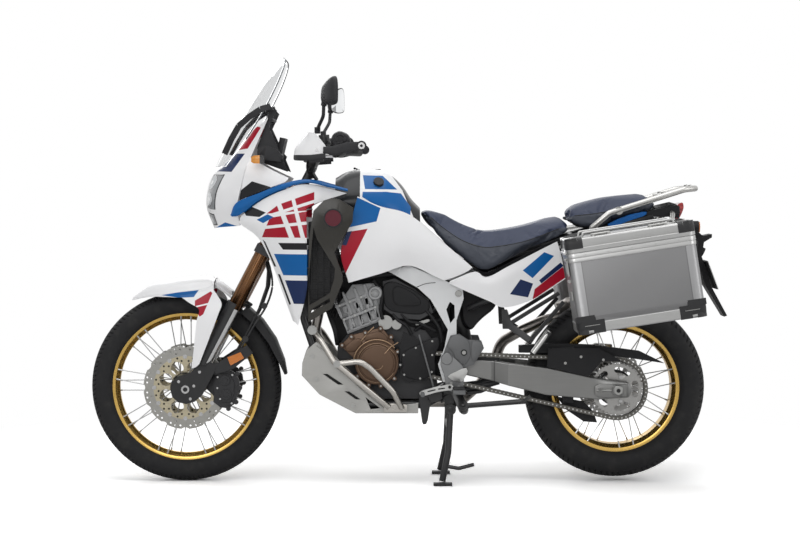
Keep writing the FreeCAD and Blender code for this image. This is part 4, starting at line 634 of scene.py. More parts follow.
left_bronze = [spun([(0.5, -126), (79, -126), (79, -129), (76.5, -132.5), (72, -132.5), (69.5, -129), (66, -128.5),
                     (64.5, -134), (60, -138.5), (40, -140.5), (0.5, -141.5)], generator, 96),
               pad([(-236, 500), (-206, 530), (-176, 536), (-170, 512), (-196, 486), (-226, 484)], -111, -118),
               pad([(-160, 548), (-106, 562), (-80, 540), (-78, 522), (-120, 532), (-164, 522)], -111, -118)]
piece("generator_cover", left_bronze, cast_bronze, crease=28)
beads = [arc(generator, 84, 40, 172, -124, 2.8), arc(generator, 70.5, 30, 330, -132, 1.2, 60),
         arc(generator, 24, 190, 340, -141, 1),
         run(np.array([(-178, -114, 520), (-150, -116, 556), (-128, -114, 576)]) / 1000.0, 0.0026),
         run(np.array([(-90, -138, 480), (-66, -136, 506), (-40, -126, 520)]) / 1000.0, 0.0022)]
piece("generator_beads", beads, bronze_light, crease=60)
cover_places = [(generator[0] + 86 * math.cos(a), generator[1] + 86 * math.sin(a))
                for a in np.radians([-80, -42, -5, 28, 180, 215, 250])]
cover_places += [(-244, 510), (-210, 541), (-160, 556), (-104, 571), (-66, 540)]
ears = [spun([(0.5, -108), (9, -108), (9, -122), (8, -124), (0.5, -124)], (x, z), 20) for x, z in cover_places]
piece("cover_ears", ears, cast_bronze)
piece("cover_screws", [screws(cover_places, -124, 4.2, 3.5)], zinc_screw)
right_bronze = [spun([(0.5, 131), (56, 131), (58, 134), (54, 138), (30, 139.5), (0.5, 139.5)], (-60, 440), 80),
                spun([(60, 121), (87, 121), (87, 125), (83, 127.5), (64, 127.5), (60, 125)], (-60, 440), 80)]
piece("clutch_cover", right_bronze, cast_bronze, crease=28)
piece("clutch_screws", [bolts((-60, 440), 78, 9, 127.5, 5, 4)], zinc_screw)
intake = [(-100, 728), (-62, 745), (17, 712), (72, 672), (76, 640), (40, 618), (-88, 634)]
intake_inner = [(-62, 716), (-36, 726), (16, 700), (44, 672), (40, 652), (-56, 652)]
piece("intake_cover", both(pad(intake, -103, -112, 9), pad(intake_inner, -111, -117, 7)),
      soft_black, crease=28)
gear_case = [(-30, 480), (26, 508), (104, 545), (112, 512), (92, 470), (98, 408), (46, 378), (-26, 394)]
piece("gear_case_cover", [pad(gear_case, -109, -117, 5)], soft_black, crease=28)
piece("gear_case_screws", [screws([(-20, 474), (24, 500), (84, 524), (84, 474), (82, 412), (40, 388), (-18, 402)],
                                  -117, 4, 3)], zinc_screw)
starter = [pin((-86, 592), -104, -70, 26, 28), pin((-46, 584), -106, -70, 18, 24)]
piece("starter_caps", starter, zinc_screw)
looms = [hose(points, radius) for points, radius in (
    ([(-60, -100, 622), (-40, -108, 600), (-10, -112, 580), (10, -108, 548)], 6),
    ([(-30, -100, 622), (0, -110, 596), (40, -110, 588), (96, -104, 560)], 5),
    ([(-130, -112, 745), (-100, -118, 700), (-104, -118, 640), (-96, -112, 604)], 6),
    ([(-300, -70, 640), (-284, -108, 600), (-270, -112, 560), (-262, -90, 510)], 8),
    ([(60, -106, 640), (84, -112, 610), (110, -112, 570), (118, -104, 520)], 6))]
piece("engine_hoses", looms, soft_black, crease=60)


# ---- exhaust, skid plate and crash bars -----------------------------------------------------
# Stainless pipes and silencer, a pressed aluminium tray with bolted side cheeks, and two bent
# tubes each side that carry the machine's weight in a fall.
def brushed(name, colour, roughness, stretch, metallic=1.0, **constants):
    """Metal with long fine scratches drawn out along one axis, and a faint cloud over them."""
    finish = Finish(name, colour, roughness, metallic, **constants)
    line = finish.noise(260.0, 3.0, stretch)
    cloud = finish.noise(5.0, 4.0)
    finish.paint(line * 0.45 + cloud * 0.55, shade(colour, 0.84), shade(colour, 1.15))
    finish.set("Roughness", line * 0.18 + (roughness - 0.09))
    finish.relief(line, 0.00002)
    return finish


pipe_steel = brushed("pipe_steel", (0.30, 0.28, 0.26), 0.32, (0.06, 1.0, 1.0))
skid_metal = brushed("skid_metal", (0.34, 0.336, 0.322), 0.46, (0.05, 1.0, 1.0))
tube_metal = brushed("tube_metal", (0.44, 0.42, 0.39), 0.30, (0.3, 1.0, 0.3))
refined("exhaust", pipe_steel, crease=40)
refined("skid_plate", skid_metal, bevel=0.0016)
refined("crash_bars", tube_metal, crease=40, bevel=0.002)
bands = [rods([start], [end], 0.0545, 48) for start, end in (
    ((0.610, 0.1523, 0.6147), (0.622, 0.1527, 0.6199)), ((0.760, 0.1577, 0.6805), (0.772, 0.1581, 0.6857)),
    ((0.905, 0.1629, 0.7441), (0.917, 0.1633, 0.7493)))]
piece("silencer_bands", bands, pipe_steel, crease=50)
cheek_edge = [(-336, 508), (-286, 470), (-204, 376), (-88, 276)]
piece("skid_edges", both(hose([(x, -124.5, z) for x, z in cheek_edge], 2.2)), skid_metal, crease=60)
piece("skid_screws", both(screws([(-352, 470), (-336, 386), (-205, 290), (-30, 282)], -124, 8, 4)),
      zinc_screw)
# Near-black pads behind the skid plate's slots: painted shade in the openings.
slot_shade_backs = [pad([(-318, 410), (-292, 410), (-234, 362), (-262, 361)], -116, -119, 1, 0),
              pad([(-238, 345), (-214, 345), (-172, 308), (-199, 308)], -116, -119, 1, 0)]
slot_black = worn("slot_black", (0.008, 0.008, 0.008), 0.8, variation=0.2)
piece("skid_slots", both(*slot_shade_backs), slot_black)
clamps = [pin((-352, 567), -150, -130, 17, 24), pin((-262, 446), -180, -156, 13, 24)]
piece("bar_clamps", both(*clamps), zinc_screw)


# ---- swingarm, stands, chain and foot controls ----------------------------------------------
# A brushed aluminium swingarm with its wheel adjusters, black tube stands, a steel roller chain
# under black guards, and cast grey plates and pegs that bolt to the frame.
arm_metal = brushed("arm_metal", (0.205, 0.205, 0.20), 0.40, (0.04, 1.0, 1.0))
seam = (arm_metal.x - 0.311).math("ABSOLUTE").step(0.0035, 0.0015)
arm_metal.paint(seam * 0.7, arm_metal.own_colour(), (0.06, 0.06, 0.06))
refined("swingarm", arm_metal, bevel=0.006)
refined("rear_axle", zinc_screw, crease=40)
peg_cast = worn("peg_cast", (0.115, 0.117, 0.118), 0.46, 0.45, grain=500, depth=0.00005)
behind = peg_cast.x.step(0.298, 0.302)
peg_grey = peg_cast.mix(peg_cast.noise(14.0), (0.105, 0.107, 0.11), (0.13, 0.132, 0.135))
peg_cast.paint(behind, peg_grey, (0.011, 0.011, 0.012))
peg_cast.set("Metallic", 0.45 * (1.0 - behind))
refined("foot_controls", peg_cast, bevel=0.002)
stand_black = worn("stand_black", (0.011, 0.011, 0.012), 0.4, grain=300, depth=0.00006)
refined("side_stand", stand_black, crease=40, bevel=0.0008)
refined("centre_stand", stand_black, crease=40, bevel=0.0008)
inner_mass = [(-318, 700), (-286, 612), (-266, 520), (-230, 470), (60, 430), (128, 452), (136, 500), (150, 560),
              (150, 640), (186, 690), (130, 742), (0, 790), (-120, 792), (-240, 776), (-300, 752)]
piece("throttle_bodies_and_looms", both(pad(inner_mass, 0, -62, 14)), soft_black)
gearbox_back = [(20, 556), (112, 548), (136, 512), (134, 448), (124, 384), (70, 372), (24, 400)]
piece("gearbox_back", both(pad(gearbox_back, 0, -58, 12)), soft_black)
battery_tray = [(188, 724), (262, 706), (322, 676), (318, 640), (262, 596), (226, 552), (190, 590)]
piece("battery_tray", both(pad(battery_tray, 0, -54, 10, 2)), soft_black)
inner_hoses = [hose(points, radius) for points, radius in (
    ([(-290, -70, 744), (-220, -92, 752), (-150, -96, 756), (-90, -92, 766), (0, -90, 772)], 10),
    ([(-300, -66, 700), (-262, -84, 708), (-250, -86, 660), (-268, -80, 610)], 9),
    ([(96, -70, 700), (120, -84, 660), (118, -84, 610), (128, -78, 560)], 11),
    ([(150, -70, 560), (156, -84, 500), (146, -90, 470)], 8),
    ([(-80, -84, 604), (20, -90, 616), (96, -88, 640), (120, -80, 690)], 8),
    ([(20, -84, 560), (72, -92, 598), (112, -90, 600), (140, -84, 632)], 6))]
piece("inner_hoses", both(*inner_hoses), soft_black, crease=60)
piece("clamp_band", both(pad([(24, 578), (76, 594), (74, 606), (22, 590)], -92, -99, 1.5, 1)), zinc_screw)
piece("frame_seams", both(hose([(28, -124.6, 722), (60, -124.6, 734), (96, -124.6, 738)], 1.1, 20)), slot_black,
      crease=60)
frame_bolt = spun([(0.5, -123), (12.5, -123), (12.5, -127), (11.5, -128.5), (7.5, -128.5),
                   (6.5, -126), (0.5, -126)], (179, 698), 32)
piece("frame_bolts", both(frame_bolt), zinc_screw)
heel_light = worn("heel_light", (0.21, 0.213, 0.215), 0.42, 0.5, grain=500, depth=0.00005)
heel_low = [(118, 470), (136, 488), (158, 470), (196, 436), (200, 400), (196, 352), (166, 340), (134, 352),
            (128, 400), (112, 440)]
pivot_cap = spun([(0.5, -146), (21.5, -146), (21.5, -149), (19, -152), (0.5, -152.5)], (136, 462), 44)
piece("pivot_caps", both(pad(heel_low, -142, -146, 2.5, 2), pivot_cap), heel_light, crease=28)
heel_high = [(152, 544), (182, 551), (215, 530), (222, 500), (222, 466), (200, 436), (168, 452), (160, 486),
             (136, 504)]
heel_back = [(226, 526), (261, 526), (270, 500), (240, 450), (226, 458)]
piece("heel_plates", both(pad(heel_high, -131, -136, 3, 2), pad(heel_back, -131, -135, 2.5, 1)),
      peg_cast, crease=28)
heel_ring = spun([(7.5, -135.5), (11.5, -135.5), (11.5, -138.5), (7.5, -138.5)], (199, 484), 32)
piece("heel_rings", both(heel_ring), slot_black)
piece("heel_screws", both(spun([(0.5, -135.5), (7, -135.5), (7, -138), (0.5, -138)], (199, 484), 24),
                          screws([(152, 372), (180, 360)], -146, 6)), zinc_screw)
bright_cast = worn("bright_cast", (0.50, 0.50, 0.49), 0.36, 0.9, grain=500, depth=0.00003)
lever = [(34, 340), (44, 327), (92, 341), (138, 350), (156, 350), (161, 362), (152, 374), (92, 362), (46, 350)]
bracket = [(136, 400), (206, 433), (214, 414), (188, 373), (152, 386)]
piece("shift_lever", [pad(lever, -166, -174, 2, 1)], bright_cast, crease=30)
piece("peg_brackets", both(pad(bracket, -146, -152, 2, 1)), bright_cast, crease=30)
# The lever's slots are thin black pads on its face: painted shade in the openings; two black screws beside them.
piece("lever_slots", [pad([(66, 343), (96, 350), (95, 355), (65, 348)], -173.6, -174.6, 0.5, 1),
                      pad([(104, 352), (130, 356), (129, 361), (103, 357)], -173.6, -174.6, 0.5, 1),
                      screws([(146, 362), (46, 339)], -174, 6, 3)], slot_black)


def brick(x0, x1, y0, y1, z0, z1):
    """Plain block between two corners, in millimetres."""
    corners = np.array([[x, y, z] for x in (x0, x1) for y in (y0, y1) for z in (z0, z1)]) / 1000.0
    return corners, [(0, 1, 3, 2), (4, 6, 7, 5), (0, 4, 5, 1), (2, 3, 7, 6), (0, 2, 6, 4), (1, 5, 7, 3)]


peg_ribs = [brick(156.5, 199.5, y, y + 7, 343, 362.5) for y in range(-262, -158, 12)]
piece("peg_treads", both(brick(158, 198, -266, -152, 344.5, 360.5), *peg_ribs), soft_black,
      bevel=0.0008)
passenger = [run(np.array([(446, y, 487), (504, y, 566)]) / 1000.0, 0.0085, 16) for y in (-162, -170, -178, -186, -193)]
piece("passenger_pegs", both(*passenger), bright_cast, crease=50)
link_parts = [run(np.array(points) / 1000.0, radius, 14) for points, radius in (
    ([(196, -60, 344), (262, -60, 352), (330, -60, 372)], 0.012), ([(170, -84, 356), (150, -84, 330)], 0.014),
    ([(214, -66, 330), (262, -66, 336), (300, -66, 352)], 0.008), ([(120, -100, 330), (128, -104, 300)], 0.012))]
piece("suspension_link", both(*link_parts), cast_dark, crease=50)
tang = [(38, 334), (82, 328), (76, 290), (66, 222), (48, 219), (42, 270), (34, 306)]
tang_block = [(62, 344), (122, 346), (124, 306), (70, 300)]
piece("lower_tang", [pad(tang, -112, -126, 3, 1), pad(tang_block, -104, -132, 4, 1)], stand_black)
rear_box = np.array(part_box("rear_rim"))
rear_axle_place = np.array([rear_box[:, 0].mean(), rear_box[:, 2].mean()])


def link_path(count):
    """Places along the chain and their directions: two arcs round the sprockets and the two straight
    runs that touch them, at equal steps of length."""
    front, rear = np.array([0.055, 0.440]), rear_axle_place
    small, big = 0.040, 0.107
    span = np.linalg.norm(rear - front)
    lean = math.atan2(*(rear - front)[::-1])
    spread = math.acos((small - big) / span)
    first = np.linspace(lean + spread, lean + 2.0 * math.pi - spread, 200)
    second = np.linspace(lean - spread, lean + spread, 400)
    line = np.concatenate([front + small * np.stack([np.cos(first), np.sin(first)], 1),
                           rear + big * np.stack([np.cos(second), np.sin(second)], 1)])
    line = np.concatenate([line, line[:1]])
    length = np.concatenate([[0.0], np.cumsum(np.linalg.norm(np.diff(line, axis=0), axis=1))])
    place = np.linspace(0.0, length[-1], count + 1)[:-1]
    return np.stack([np.interp(place, length, line[:, 0]), np.interp(place, length, line[:, 1])], axis=1)


pins = link_path(124)
after = np.roll(pins, -1, axis=0)
links = []
turns = circle(12)[:, None]
for shift, y_low, y_high in ((0, -105.0, -102.6), (1, -103.0, -101.0), (0, -81.4, -79.0), (1, -83.0, -81.0)):
    start, end = pins[shift::2], after[shift::2]
    along = unit(end - start)
    across = np.stack([-along[:, 1], along[:, 0]], axis=1)
    half = np.where(np.cos(turns) > 0.0, 1.0, 0.0)
    outline = start[:, None] * (1.0 - half) + end[:, None] * half
    outline = outline + 0.0076 * (along[:, None] * np.cos(turns) + across[:, None] * np.sin(turns))
    middle = np.broadcast_to(((start + end) / 2.0)[:, None], outline.shape)
    layers = np.stack([middle, outline, outline, middle], axis=1)
    height = np.array([y_low, y_low, y_high, y_high])[None, :, None, None] / 1000.0
    layers = np.concatenate([layers[..., :1], np.broadcast_to(height, layers[..., :1].shape), layers[..., 1:]], axis=-1)
    links += [grid(link, False, True) for link in layers]
pin_start = np.insert(pins, 1, -0.1062, axis=1)
pin_end = np.insert(pins, 1, -0.0778, axis=1)
chain_metal = worn("chain_metal", (0.115, 0.11, 0.10), 0.42, 0.9, grain=500, depth=0.00002, variation=0.3)
refined("chain", worn("chain_core", (0.02, 0.02, 0.02), 0.6, 0.3))
piece("chain_links", links, chain_metal)
piece("chain_pins", [rods(pin_start, pin_end, 0.0028, 8)], bright_cast)
refined("chain_guards", soft_black, bevel=0.0025)
piece("guard_screws", [screws([(624, 469), (705, 458), (567, 446)], -142, 5.5, 3)], zinc_screw)
ax, az = rear_axle_place * 1000.0
blocks = [pad([(ax - 84, az + 24), (ax - 10, az + 22), (ax + 24, az + 12), (ax + 24, az - 16), (ax - 10, az - 26),
               (ax - 84, az - 26)], -140.5, -144, 2, 1),
          pad([(ax - 22, az + 19), (ax + 19, az + 19), (ax + 19, az - 19), (ax - 22, az - 19)], -143, -152, 2, 1)]
piece("axle_adjusters", both(*blocks), arm_metal, crease=28)
adjusters = [rods([((ax - start) / 1000.0, -0.146, az / 1000.0)], [((ax - end) / 1000.0, -0.146, az / 1000.0)],
                  radius / 1000.0, sides) for start, end, radius, sides in ((78, 24, 5, 12), (70, 58, 9.5, 6))]
piece("adjuster_bolts", both(*adjusters, pin((ax, az), -150, -160, 16.5, 6)), zinc_screw)
piece("axle_ends", both(pin((ax, az), -159.5, -161.2, 7.5, 24)), slot_black)
piece("chain_slider", [pad([(150, 470), (240, 472), (330, 462), (330, 450), (150, 456)], -88, -104, 2, 1)],
      soft_black)


# ---- fork, clamps, front brakes and fender --------------------------------------------------
# Upside-down fork with gold anodised outer tubes, bright stanchions and black cast feet;
# black four-piston calipers, and a white moulded fender over the wheel with deep side wings.
fork_gold = Finish("fork_gold", (0.40, 0.24, 0.10), 0.26, 1.0, coat_weight=0.3)
fork_streak = fork_gold.noise(120.0, 2.0, (0.2, 1.0, 0.1))
fork_gold.paint(fork_streak, (0.12, 0.050, 0.018), (0.19, 0.090, 0.034))
fork_gold.set("Roughness", fork_streak * 0.1 + 0.2)
cast_black = worn("cast_black", (0.014, 0.014, 0.015), 0.48, 0.0, grain=500, depth=0.00005, specular_ior_level=0.35)
satin_black = worn("satin_black", (0.014, 0.014, 0.016), 0.38, 0.0, grain=700, depth=0.00002, specular_ior_level=0.4)
refined("fork_tubes", fork_gold)
refined("fork_legs", cast_black, crease=32, bevel=0.0015)
refined("triple_clamps", satin_black, crease=32, bevel=0.0015)
refined("front_brakes", satin_black, crease=32, bevel=0.0015)


# ---- radiator shrouds and nose --------------------------------------------------------------
# Injection-moulded panels about 3.5 mm thick in white gloss paint under clear lacquer, with red
# and blue blocks; they clip to each other and to the frame.
def crowned(table, rows, columns):
    """Smooth surface through a table of rows of (x, y, z) in millimetres, eased both ways."""
    along = eased(np.array(table, dtype=float) / 1000.0, rows)
    return eased(along.swapaxes(0, 1), columns).swapaxes(0, 1)


def shell(points, thickness, outward=(0.0, -1.0, 0.0)):
    """The surface, its copy one thickness behind it along its normals, and the belt between them."""
    normal = np.cross(np.gradient(points, axis=0), np.gradient(points, axis=1))
    normal /= np.linalg.norm(normal, axis=2, keepdims=True) + 1e-12
    if np.sum(normal * np.array(outward)) < 0.0:
        normal = -normal
    rows, columns = points.shape[:2]
    front = grid_faces(rows, columns, False, False)
    index = np.arange(rows * columns).reshape(rows, columns)
    belt = np.concatenate([index[0, :-1], index[:-1, -1], index[-1, :0:-1], index[:0:-1, 0]])
    after = np.roll(belt, -1)
    size = rows * columns
    faces = np.concatenate([front, front[:, ::-1] + size, np.stack([belt, after, after + size, belt + size], axis=-1)])
    return np.concatenate([points.reshape(-1, 3), (points - thickness * normal).reshape(-1, 3)]), faces


def inside(finish, corners, soft=0.0005):
    """1 within a convex outline of (x, z) in millimetres: the least distance to its edges, stepped."""
    corners = np.array(corners, dtype=float) / 1000.0
    middle = corners.mean(axis=0)
    nearest = None
    for first, second in zip(corners, np.roll(corners, -1, axis=0)):
        edge = unit(second - first)
        normal = np.array([-edge[1], edge[0]])
        if np.dot(normal, middle - first) < 0.0:
            normal = -normal
        reach = finish.x * float(normal[0]) + finish.z * float(normal[1]) - float(np.dot(normal, first))
        nearest = reach if nearest is None else nearest.least(reach)
    return nearest.step(-soft, soft)


def lacquered(name, base, blocks=()):
    """Gloss paint in its base colour with blocks of (colour, outline) laid over it in turn."""
    finish = Finish(name, base, 0.3, 0.0, specular_ior_level=0.2, coat_weight=0.12, coat_roughness=0.05)
    cloud = finish.noise(7.0)
    paint_now = finish.mix(cloud, shade(base, 0.975), shade(base, 1.02))
    for colour, corners in blocks:
        paint_now = finish.mix(inside(finish, corners), paint_now, colour)
    finish.set("Base Color", paint_now)
    finish.set("Roughness", finish.noise(90.0) * 0.10 + 0.26)
    return finish


white = (0.84, 0.84, 0.85)
red = (0.36, 0.006, 0.022)
blue = (0.002, 0.105, 0.34)
navy = (0.008, 0.022, 0.085)
ink = (0.012, 0.012, 0.014)
shroud_table = [
    [(-604, -168, 984), (-530, -192, 1038), (-449, -211, 1075), (-367, -224, 1095), (-225, -215, 1064)],
    [(-612, -166, 966), (-540, -206, 990), (-450, -239, 1004), (-374, -257, 1012), (-364, -257, 1012)],
    [(-606, -164, 949), (-540, -210, 952), (-450, -245, 954), (-374, -265, 950), (-366, -265, 950)],
    [(-541, -180, 898), (-495, -219, 898), (-440, -247, 896), (-374, -267, 892), (-366, -267, 890)],
    [(-487, -196, 793), (-455, -227, 793), (-415, -250, 792), (-374, -263, 790), (-365, -263, 790)],
    [(-455, -206, 705), (-432, -231, 705), (-408, -245, 706), (-378, -255, 708), (-368, -255, 710)],
    [(-418, -222, 606), (-411, -234, 602), (-406, -240, 598), (-402, -244, 594), (-398, -244, 592)]]
shroud_paint = lacquered("shroud_paint", white, (
    (red, [(-512, 990), (-470, 1022), (-340, 1068), (-340, 1004)]),
    (red, [(-530, 905), (-500, 975), (-340, 1004), (-340, 905)]),
    (white, [(-512, 985), (-340, 1040), (-340, 1029), (-512, 974)]),
    (white, [(-478, 1030), (-462, 1034), (-410, 905), (-430, 905)]),
    (white, [(-424, 1050), (-412, 1054), (-372, 905), (-388, 905)]),
    (white, [(-530, 945), (-340, 966), (-340, 955), (-530, 934)]),
    (ink, [(-470, 886), (-360, 886), (-360, 862), (-452, 862)]),
    (blue, [(-486, 846), (-360, 846), (-360, 770), (-452, 770)]),
    (navy, [(-446, 752), (-360, 752), (-360, 668), (-414, 668)]),
    (ink, [(-528, 897), (-518, 889), (-478, 800), (-486, 800)]),
    (ink, [(-473, 774), (-464, 772), (-424, 666), (-431, 664)]),
    (ink, [(-602, 1006), (-574, 1017), (-514, 994), (-538, 978), (-588, 982)]),
    (blue, [(-548, 968), (-508, 988), (-486, 978), (-524, 956)])))
piece("shroud_panels", both(shell(crowned(shroud_table, 90, 50), 0.0035)), shroud_paint,
      "side_fairings", crease=40, bevel=0.0009)

# Blue blades lie along the top of the shrouds, deep at the nose and thin towards the tank.
blade_table = [
    [(-646, -162, 983), (-621, -174, 1030), (-535, -193, 1066), (-449, -210, 1099), (-367, -223, 1113),
     (-284, -225, 1095), (-221, -215, 1079)],
    [(-642, -170, 982), (-614, -182, 1004), (-533, -201, 1053), (-449, -219, 1088), (-367, -232, 1106),
     (-284, -233, 1089), (-221, -221, 1074)],
    [(-640, -162, 978), (-608, -173, 987), (-532, -196, 1043), (-449, -213, 1080), (-367, -226, 1100),
     (-284, -226, 1083), (-221, -216, 1069)]]
blue_paint = lacquered("blue_paint", blue)
piece("shroud_blades", both(shell(crowned(blade_table, 9, 90), 0.006)), blue_paint,
      "fairing_trim", crease=24, bevel=0.0009)
# The nose: a white cowl over twin lamps, drawn back into side wings that reach under the bars.
nose_half = [
    [(-590, 0, 1262), (-584, 70, 1266), (-560, 118, 1296), (-512, 136, 1334)],
    [(-682, 0, 1160), (-674, 66, 1166), (-630, 126, 1184), (-572, 158, 1194)],
    [(-722, 0, 1120), (-712, 62, 1132), (-668, 128, 1134), (-590, 184, 1150)],
    [(-740, 0, 1070), (-734, 56, 1074), (-700, 126, 1066), (-606, 180, 1088)],
    [(-744, 0, 1010), (-738, 50, 1008), (-706, 112, 1000), (-622, 166, 1012)],
    [(-716, 0, 936), (-712, 44, 934), (-690, 92, 938), (-612, 150, 945)]]
nose_table = [[(x, -y, z) for x, y, z in row[:0:-1]] + row for row in nose_half]
nose_surface = crowned(nose_table, 101, 121)
nose_paint = lacquered("nose_paint", white, (
    (red, [(-556, 1306), (-536, 1300), (-584, 1224), (-624, 1218), (-600, 1270)]),
    (navy, [(-630, 1206), (-594, 1206), (-642, 1140), (-700, 1142)]),
    (blue, [(-710, 934), (-668, 957), (-622, 944), (-622, 925)])))
piece("nose_shell", [shell(nose_surface, 0.0035, (-1.0, 0.0, 0.0))], nose_paint,
      "nose_cowl", crease=40, bevel=0.0009)
wing_table = [
    [(-574, -158, 1192), (-500, -184, 1150), (-433, -196, 1118)],
    [(-592, -181, 1140), (-520, -190, 1114), (-440, -201, 1109)],
    [(-614, -172, 1036), (-540, -186, 1068), (-450, -204, 1102)]]
wing_paint = lacquered("wing_paint", white, (
    (ink, [(-500, 1086), (-566, 1106), (-621, 1062), (-624, 1030), (-540, 1064), (-496, 1082)]),))
piece("nose_wings", both(shell(crowned(wing_table, 40, 50), 0.0035)), wing_paint,
      crease=40, bevel=0.0009)


# ---- headlamps ------------------------------------------------------------------------------
# Two clear covers over dark buckets with round bowls whose bright stripes and centres are painted reflection,
# each in a black rim, and a smaller lamp below; the covers carry a painted glint. They follow the nose and clip into
# it.
def nose_patch(rows, columns, lift, thickness):
    """Part of the nose between two rows and two columns of its surface, lifted along its normals."""
    normal = np.cross(np.gradient(nose_surface, axis=0), np.gradient(nose_surface, axis=1))
    normal = unit(normal)
    if np.sum(normal[..., 0]) > 0.0:
        normal = -normal
    return shell((nose_surface + lift * normal)[slice(*rows), slice(*columns)], thickness, (-1.0, 0.0, 0.0))


lamp_cover = Finish("lamp_cover", (0.5, 0.52, 0.54), 0.08, 0.0, coat_weight=1.0, coat_roughness=0.03)
glint = lamp_cover.noise(45.0, 2.0)
lamp_side = lamp_cover.y.math("ABSOLUTE")
lamp_look = lamp_cover.mix(glint, (0.15, 0.16, 0.17), (0.27, 0.28, 0.29))
# Painted reflection: each bowl is bright grey with fluted stripes and a brighter centre, inside a dark rim.
for bowl_y, bowl_z, radius in ((0.085, 1.102, 0.027), (0.086, 1.041, 0.026), (0.069, 0.967, 0.015)):
    across, up = lamp_side - bowl_y, lamp_cover.z - bowl_z
    far = (across * across + up * up).math("SQRT")
    bowl_reflection = lamp_cover.mix((across * 900.0).math("SINE") * 0.5 + 0.5, (0.34, 0.36, 0.38), (0.60, 0.62, 0.64))
    bowl_reflection = lamp_cover.mix(far.step(0.0078, 0.0070), bowl_reflection, (0.80, 0.81, 0.82))
    lamp_look = lamp_cover.mix(far.step(radius, radius - 0.0008), lamp_look, bowl_reflection)
    lamp_look = lamp_cover.mix((far - radius).math("ABSOLUTE").step(0.0018, 0.0010), lamp_look, (0.05, 0.05, 0.055))
lamp_cover.set("Base Color", lamp_look)
lamp_cover.set("Roughness", glint * 0.1 + 0.04)
lamps = [nose_patch((42, 80), columns, 0.0018, 0.006) for columns in ((81, 100), (20, 39))]
piece("headlamp_covers", lamps, lamp_cover, "headlamps", bevel=0.0012)
dark_plastic = worn("dark_plastic", (0.017, 0.017, 0.019), 0.55, grain=900, depth=0.00004, specular_ior_level=0.3)
rims = [nose_patch(rows, columns, 0.0006, 0.004) for rows, columns in (
    ((41, 80), (80, 101)), ((84, 98), (83, 99)), ((41, 80), (19, 40)), ((84, 98), (22, 38)))]
piece("headlamp_rims", rims, dark_plastic, bevel=0.0008)
small_lamps = [nose_patch((85, 97), columns, 0.0016, 0.004) for columns in ((84, 97), (23, 37))]
piece("fog_lamp_covers", small_lamps, lamp_cover, bevel=0.0008)


# ---- windscreen and front signals -----------------------------------------------------------
# Clear polycarbonate, 4 mm thick, thermoformed and held at its foot by a dark arched carrier, with
# an amber signal on a black stalk at each side.
screen_clear = Finish("screen_clear", (0.86, 0.865, 0.87), 0.02, 0.0, transmission_weight=1.0, ior=1.1)
haze = screen_clear.noise(14.0, 4.0)
screen_clear.set("Roughness", haze * 0.02 + 0.01)
screen_clear.paint(haze, (0.80, 0.805, 0.81), (0.84, 0.843, 0.846))
screen_rows = []
for z, middle, edge, half in ((1558, -468, -462, 52), (1532, -492, -454, 112), (1450, -548, -484, 142),
                              (1345, -612, -538, 152), (1240, -672, -606, 144), (1160, -712, -668, 116)):
    row = [(middle, 0, z), (middle + 0.16 * (edge - middle), 0.45 * half, z),
           (middle + 0.5 * (edge - middle), 0.8 * half, z), (edge, half, z)]
    screen_rows.append([(x, -y, z) for x, y, z in row[:0:-1]] + row)
screen_surface = crowned(screen_rows, 81, 71)
piece("screen_sheet", [shell(screen_surface, 0.004, (-1.0, 0.0, 0.0))], screen_clear,
      "windscreen", crease=50)
# Dark rods along the screen's side edges are painted shade where the clear sheet's edge looks dark.
screen_edge_shade = worn("screen_edge", (0.14, 0.15, 0.16), 0.3)
borders = [run(screen_surface[3:62, column] + np.array([0.0045, side * 0.0045, 0.0]), 0.0025, 8)
           for column, side in ((0, -1.0), (-1, 1.0))]
piece("screen_edge_lines", borders, screen_edge_shade, crease=80)
refined("screen_mount", dark_plastic, crease=30, bevel=0.002)
amber_lens = Finish("amber_lens", (0.85, 0.30, 0.02), 0.2)
flutes = amber_lens.node("ShaderNodeTexWave", {"bands_direction": "Z"}, {
    "Vector": amber_lens.coordinates, "Scale": 60.0})
lens_part = amber_lens.x.step(-0.534, -0.537) * amber_lens.y.math("ABSOLUTE").step(0.1945, 0.1955)
fluted = amber_lens.mix(flutes, (0.62, 0.19, 0.008), (0.80, 0.36, 0.04))
amber_lens.paint(lens_part, (0.012, 0.012, 0.013), fluted)
amber_lens.set("Coat Weight", lens_part * 0.5)
amber_lens.relief(flutes, 0.0006)
refined("front_indicators", amber_lens, crease=40, bevel=0.003)


# ---- radiator ducts -------------------------------------------------------------------------
# Dark moulded frames with a plain round badge, clipped behind the shrouds over black finned cores.
duct_plastic = worn("duct_plastic", (0.022, 0.020, 0.016), 0.30, grain=700, depth=0.00003, variation=0.2,
                    specular_ior_level=0.4)
refined("side_ducts", duct_plastic, crease=30, bevel=0.0035)
badge_paint = lacquered("badge_paint", (0.10, 0.012, 0.022))
piece("duct_badges", both(pin((-272, 975), -270.5, -273.5, 29, 48)), badge_paint, bevel=0.0008)
badge_ring = spun([(29, -270.5), (33.5, -270.5), (33.5, -274.5), (30.5, -275), (29, -274)], (-272, 975), 64)
piece("duct_badge_rings", both(badge_ring), dark_plastic)
flow = np.array([[-0.360, -0.232, z] for z in np.arange(0.668, 0.950, 0.009)])
upright = np.array([[x, -0.236, 0.668] for x in np.arange(-0.352, -0.262, 0.022)])
backing = np.array([[(-362, -226, 960), (-300, -226, 975), (-262, -226, 860), (-262, -226, 770)],
                    [(-362, -226, 640), (-330, -226, 650), (-284, -226, 680), (-262, -226, 760)]]) / 1000.0
core_black = worn("core_black", (0.010, 0.010, 0.011), 0.6, grain=900)
piece("duct_cores", both(rods(flow, flow + np.array([0.105, 0.0, -0.004]), 0.0016, 6),
                         rods(upright, upright + np.array([0.0, 0.0, 0.262]), 0.0020, 6), shell(backing, 0.004)),
      core_black)
refined("radiators", core_black)


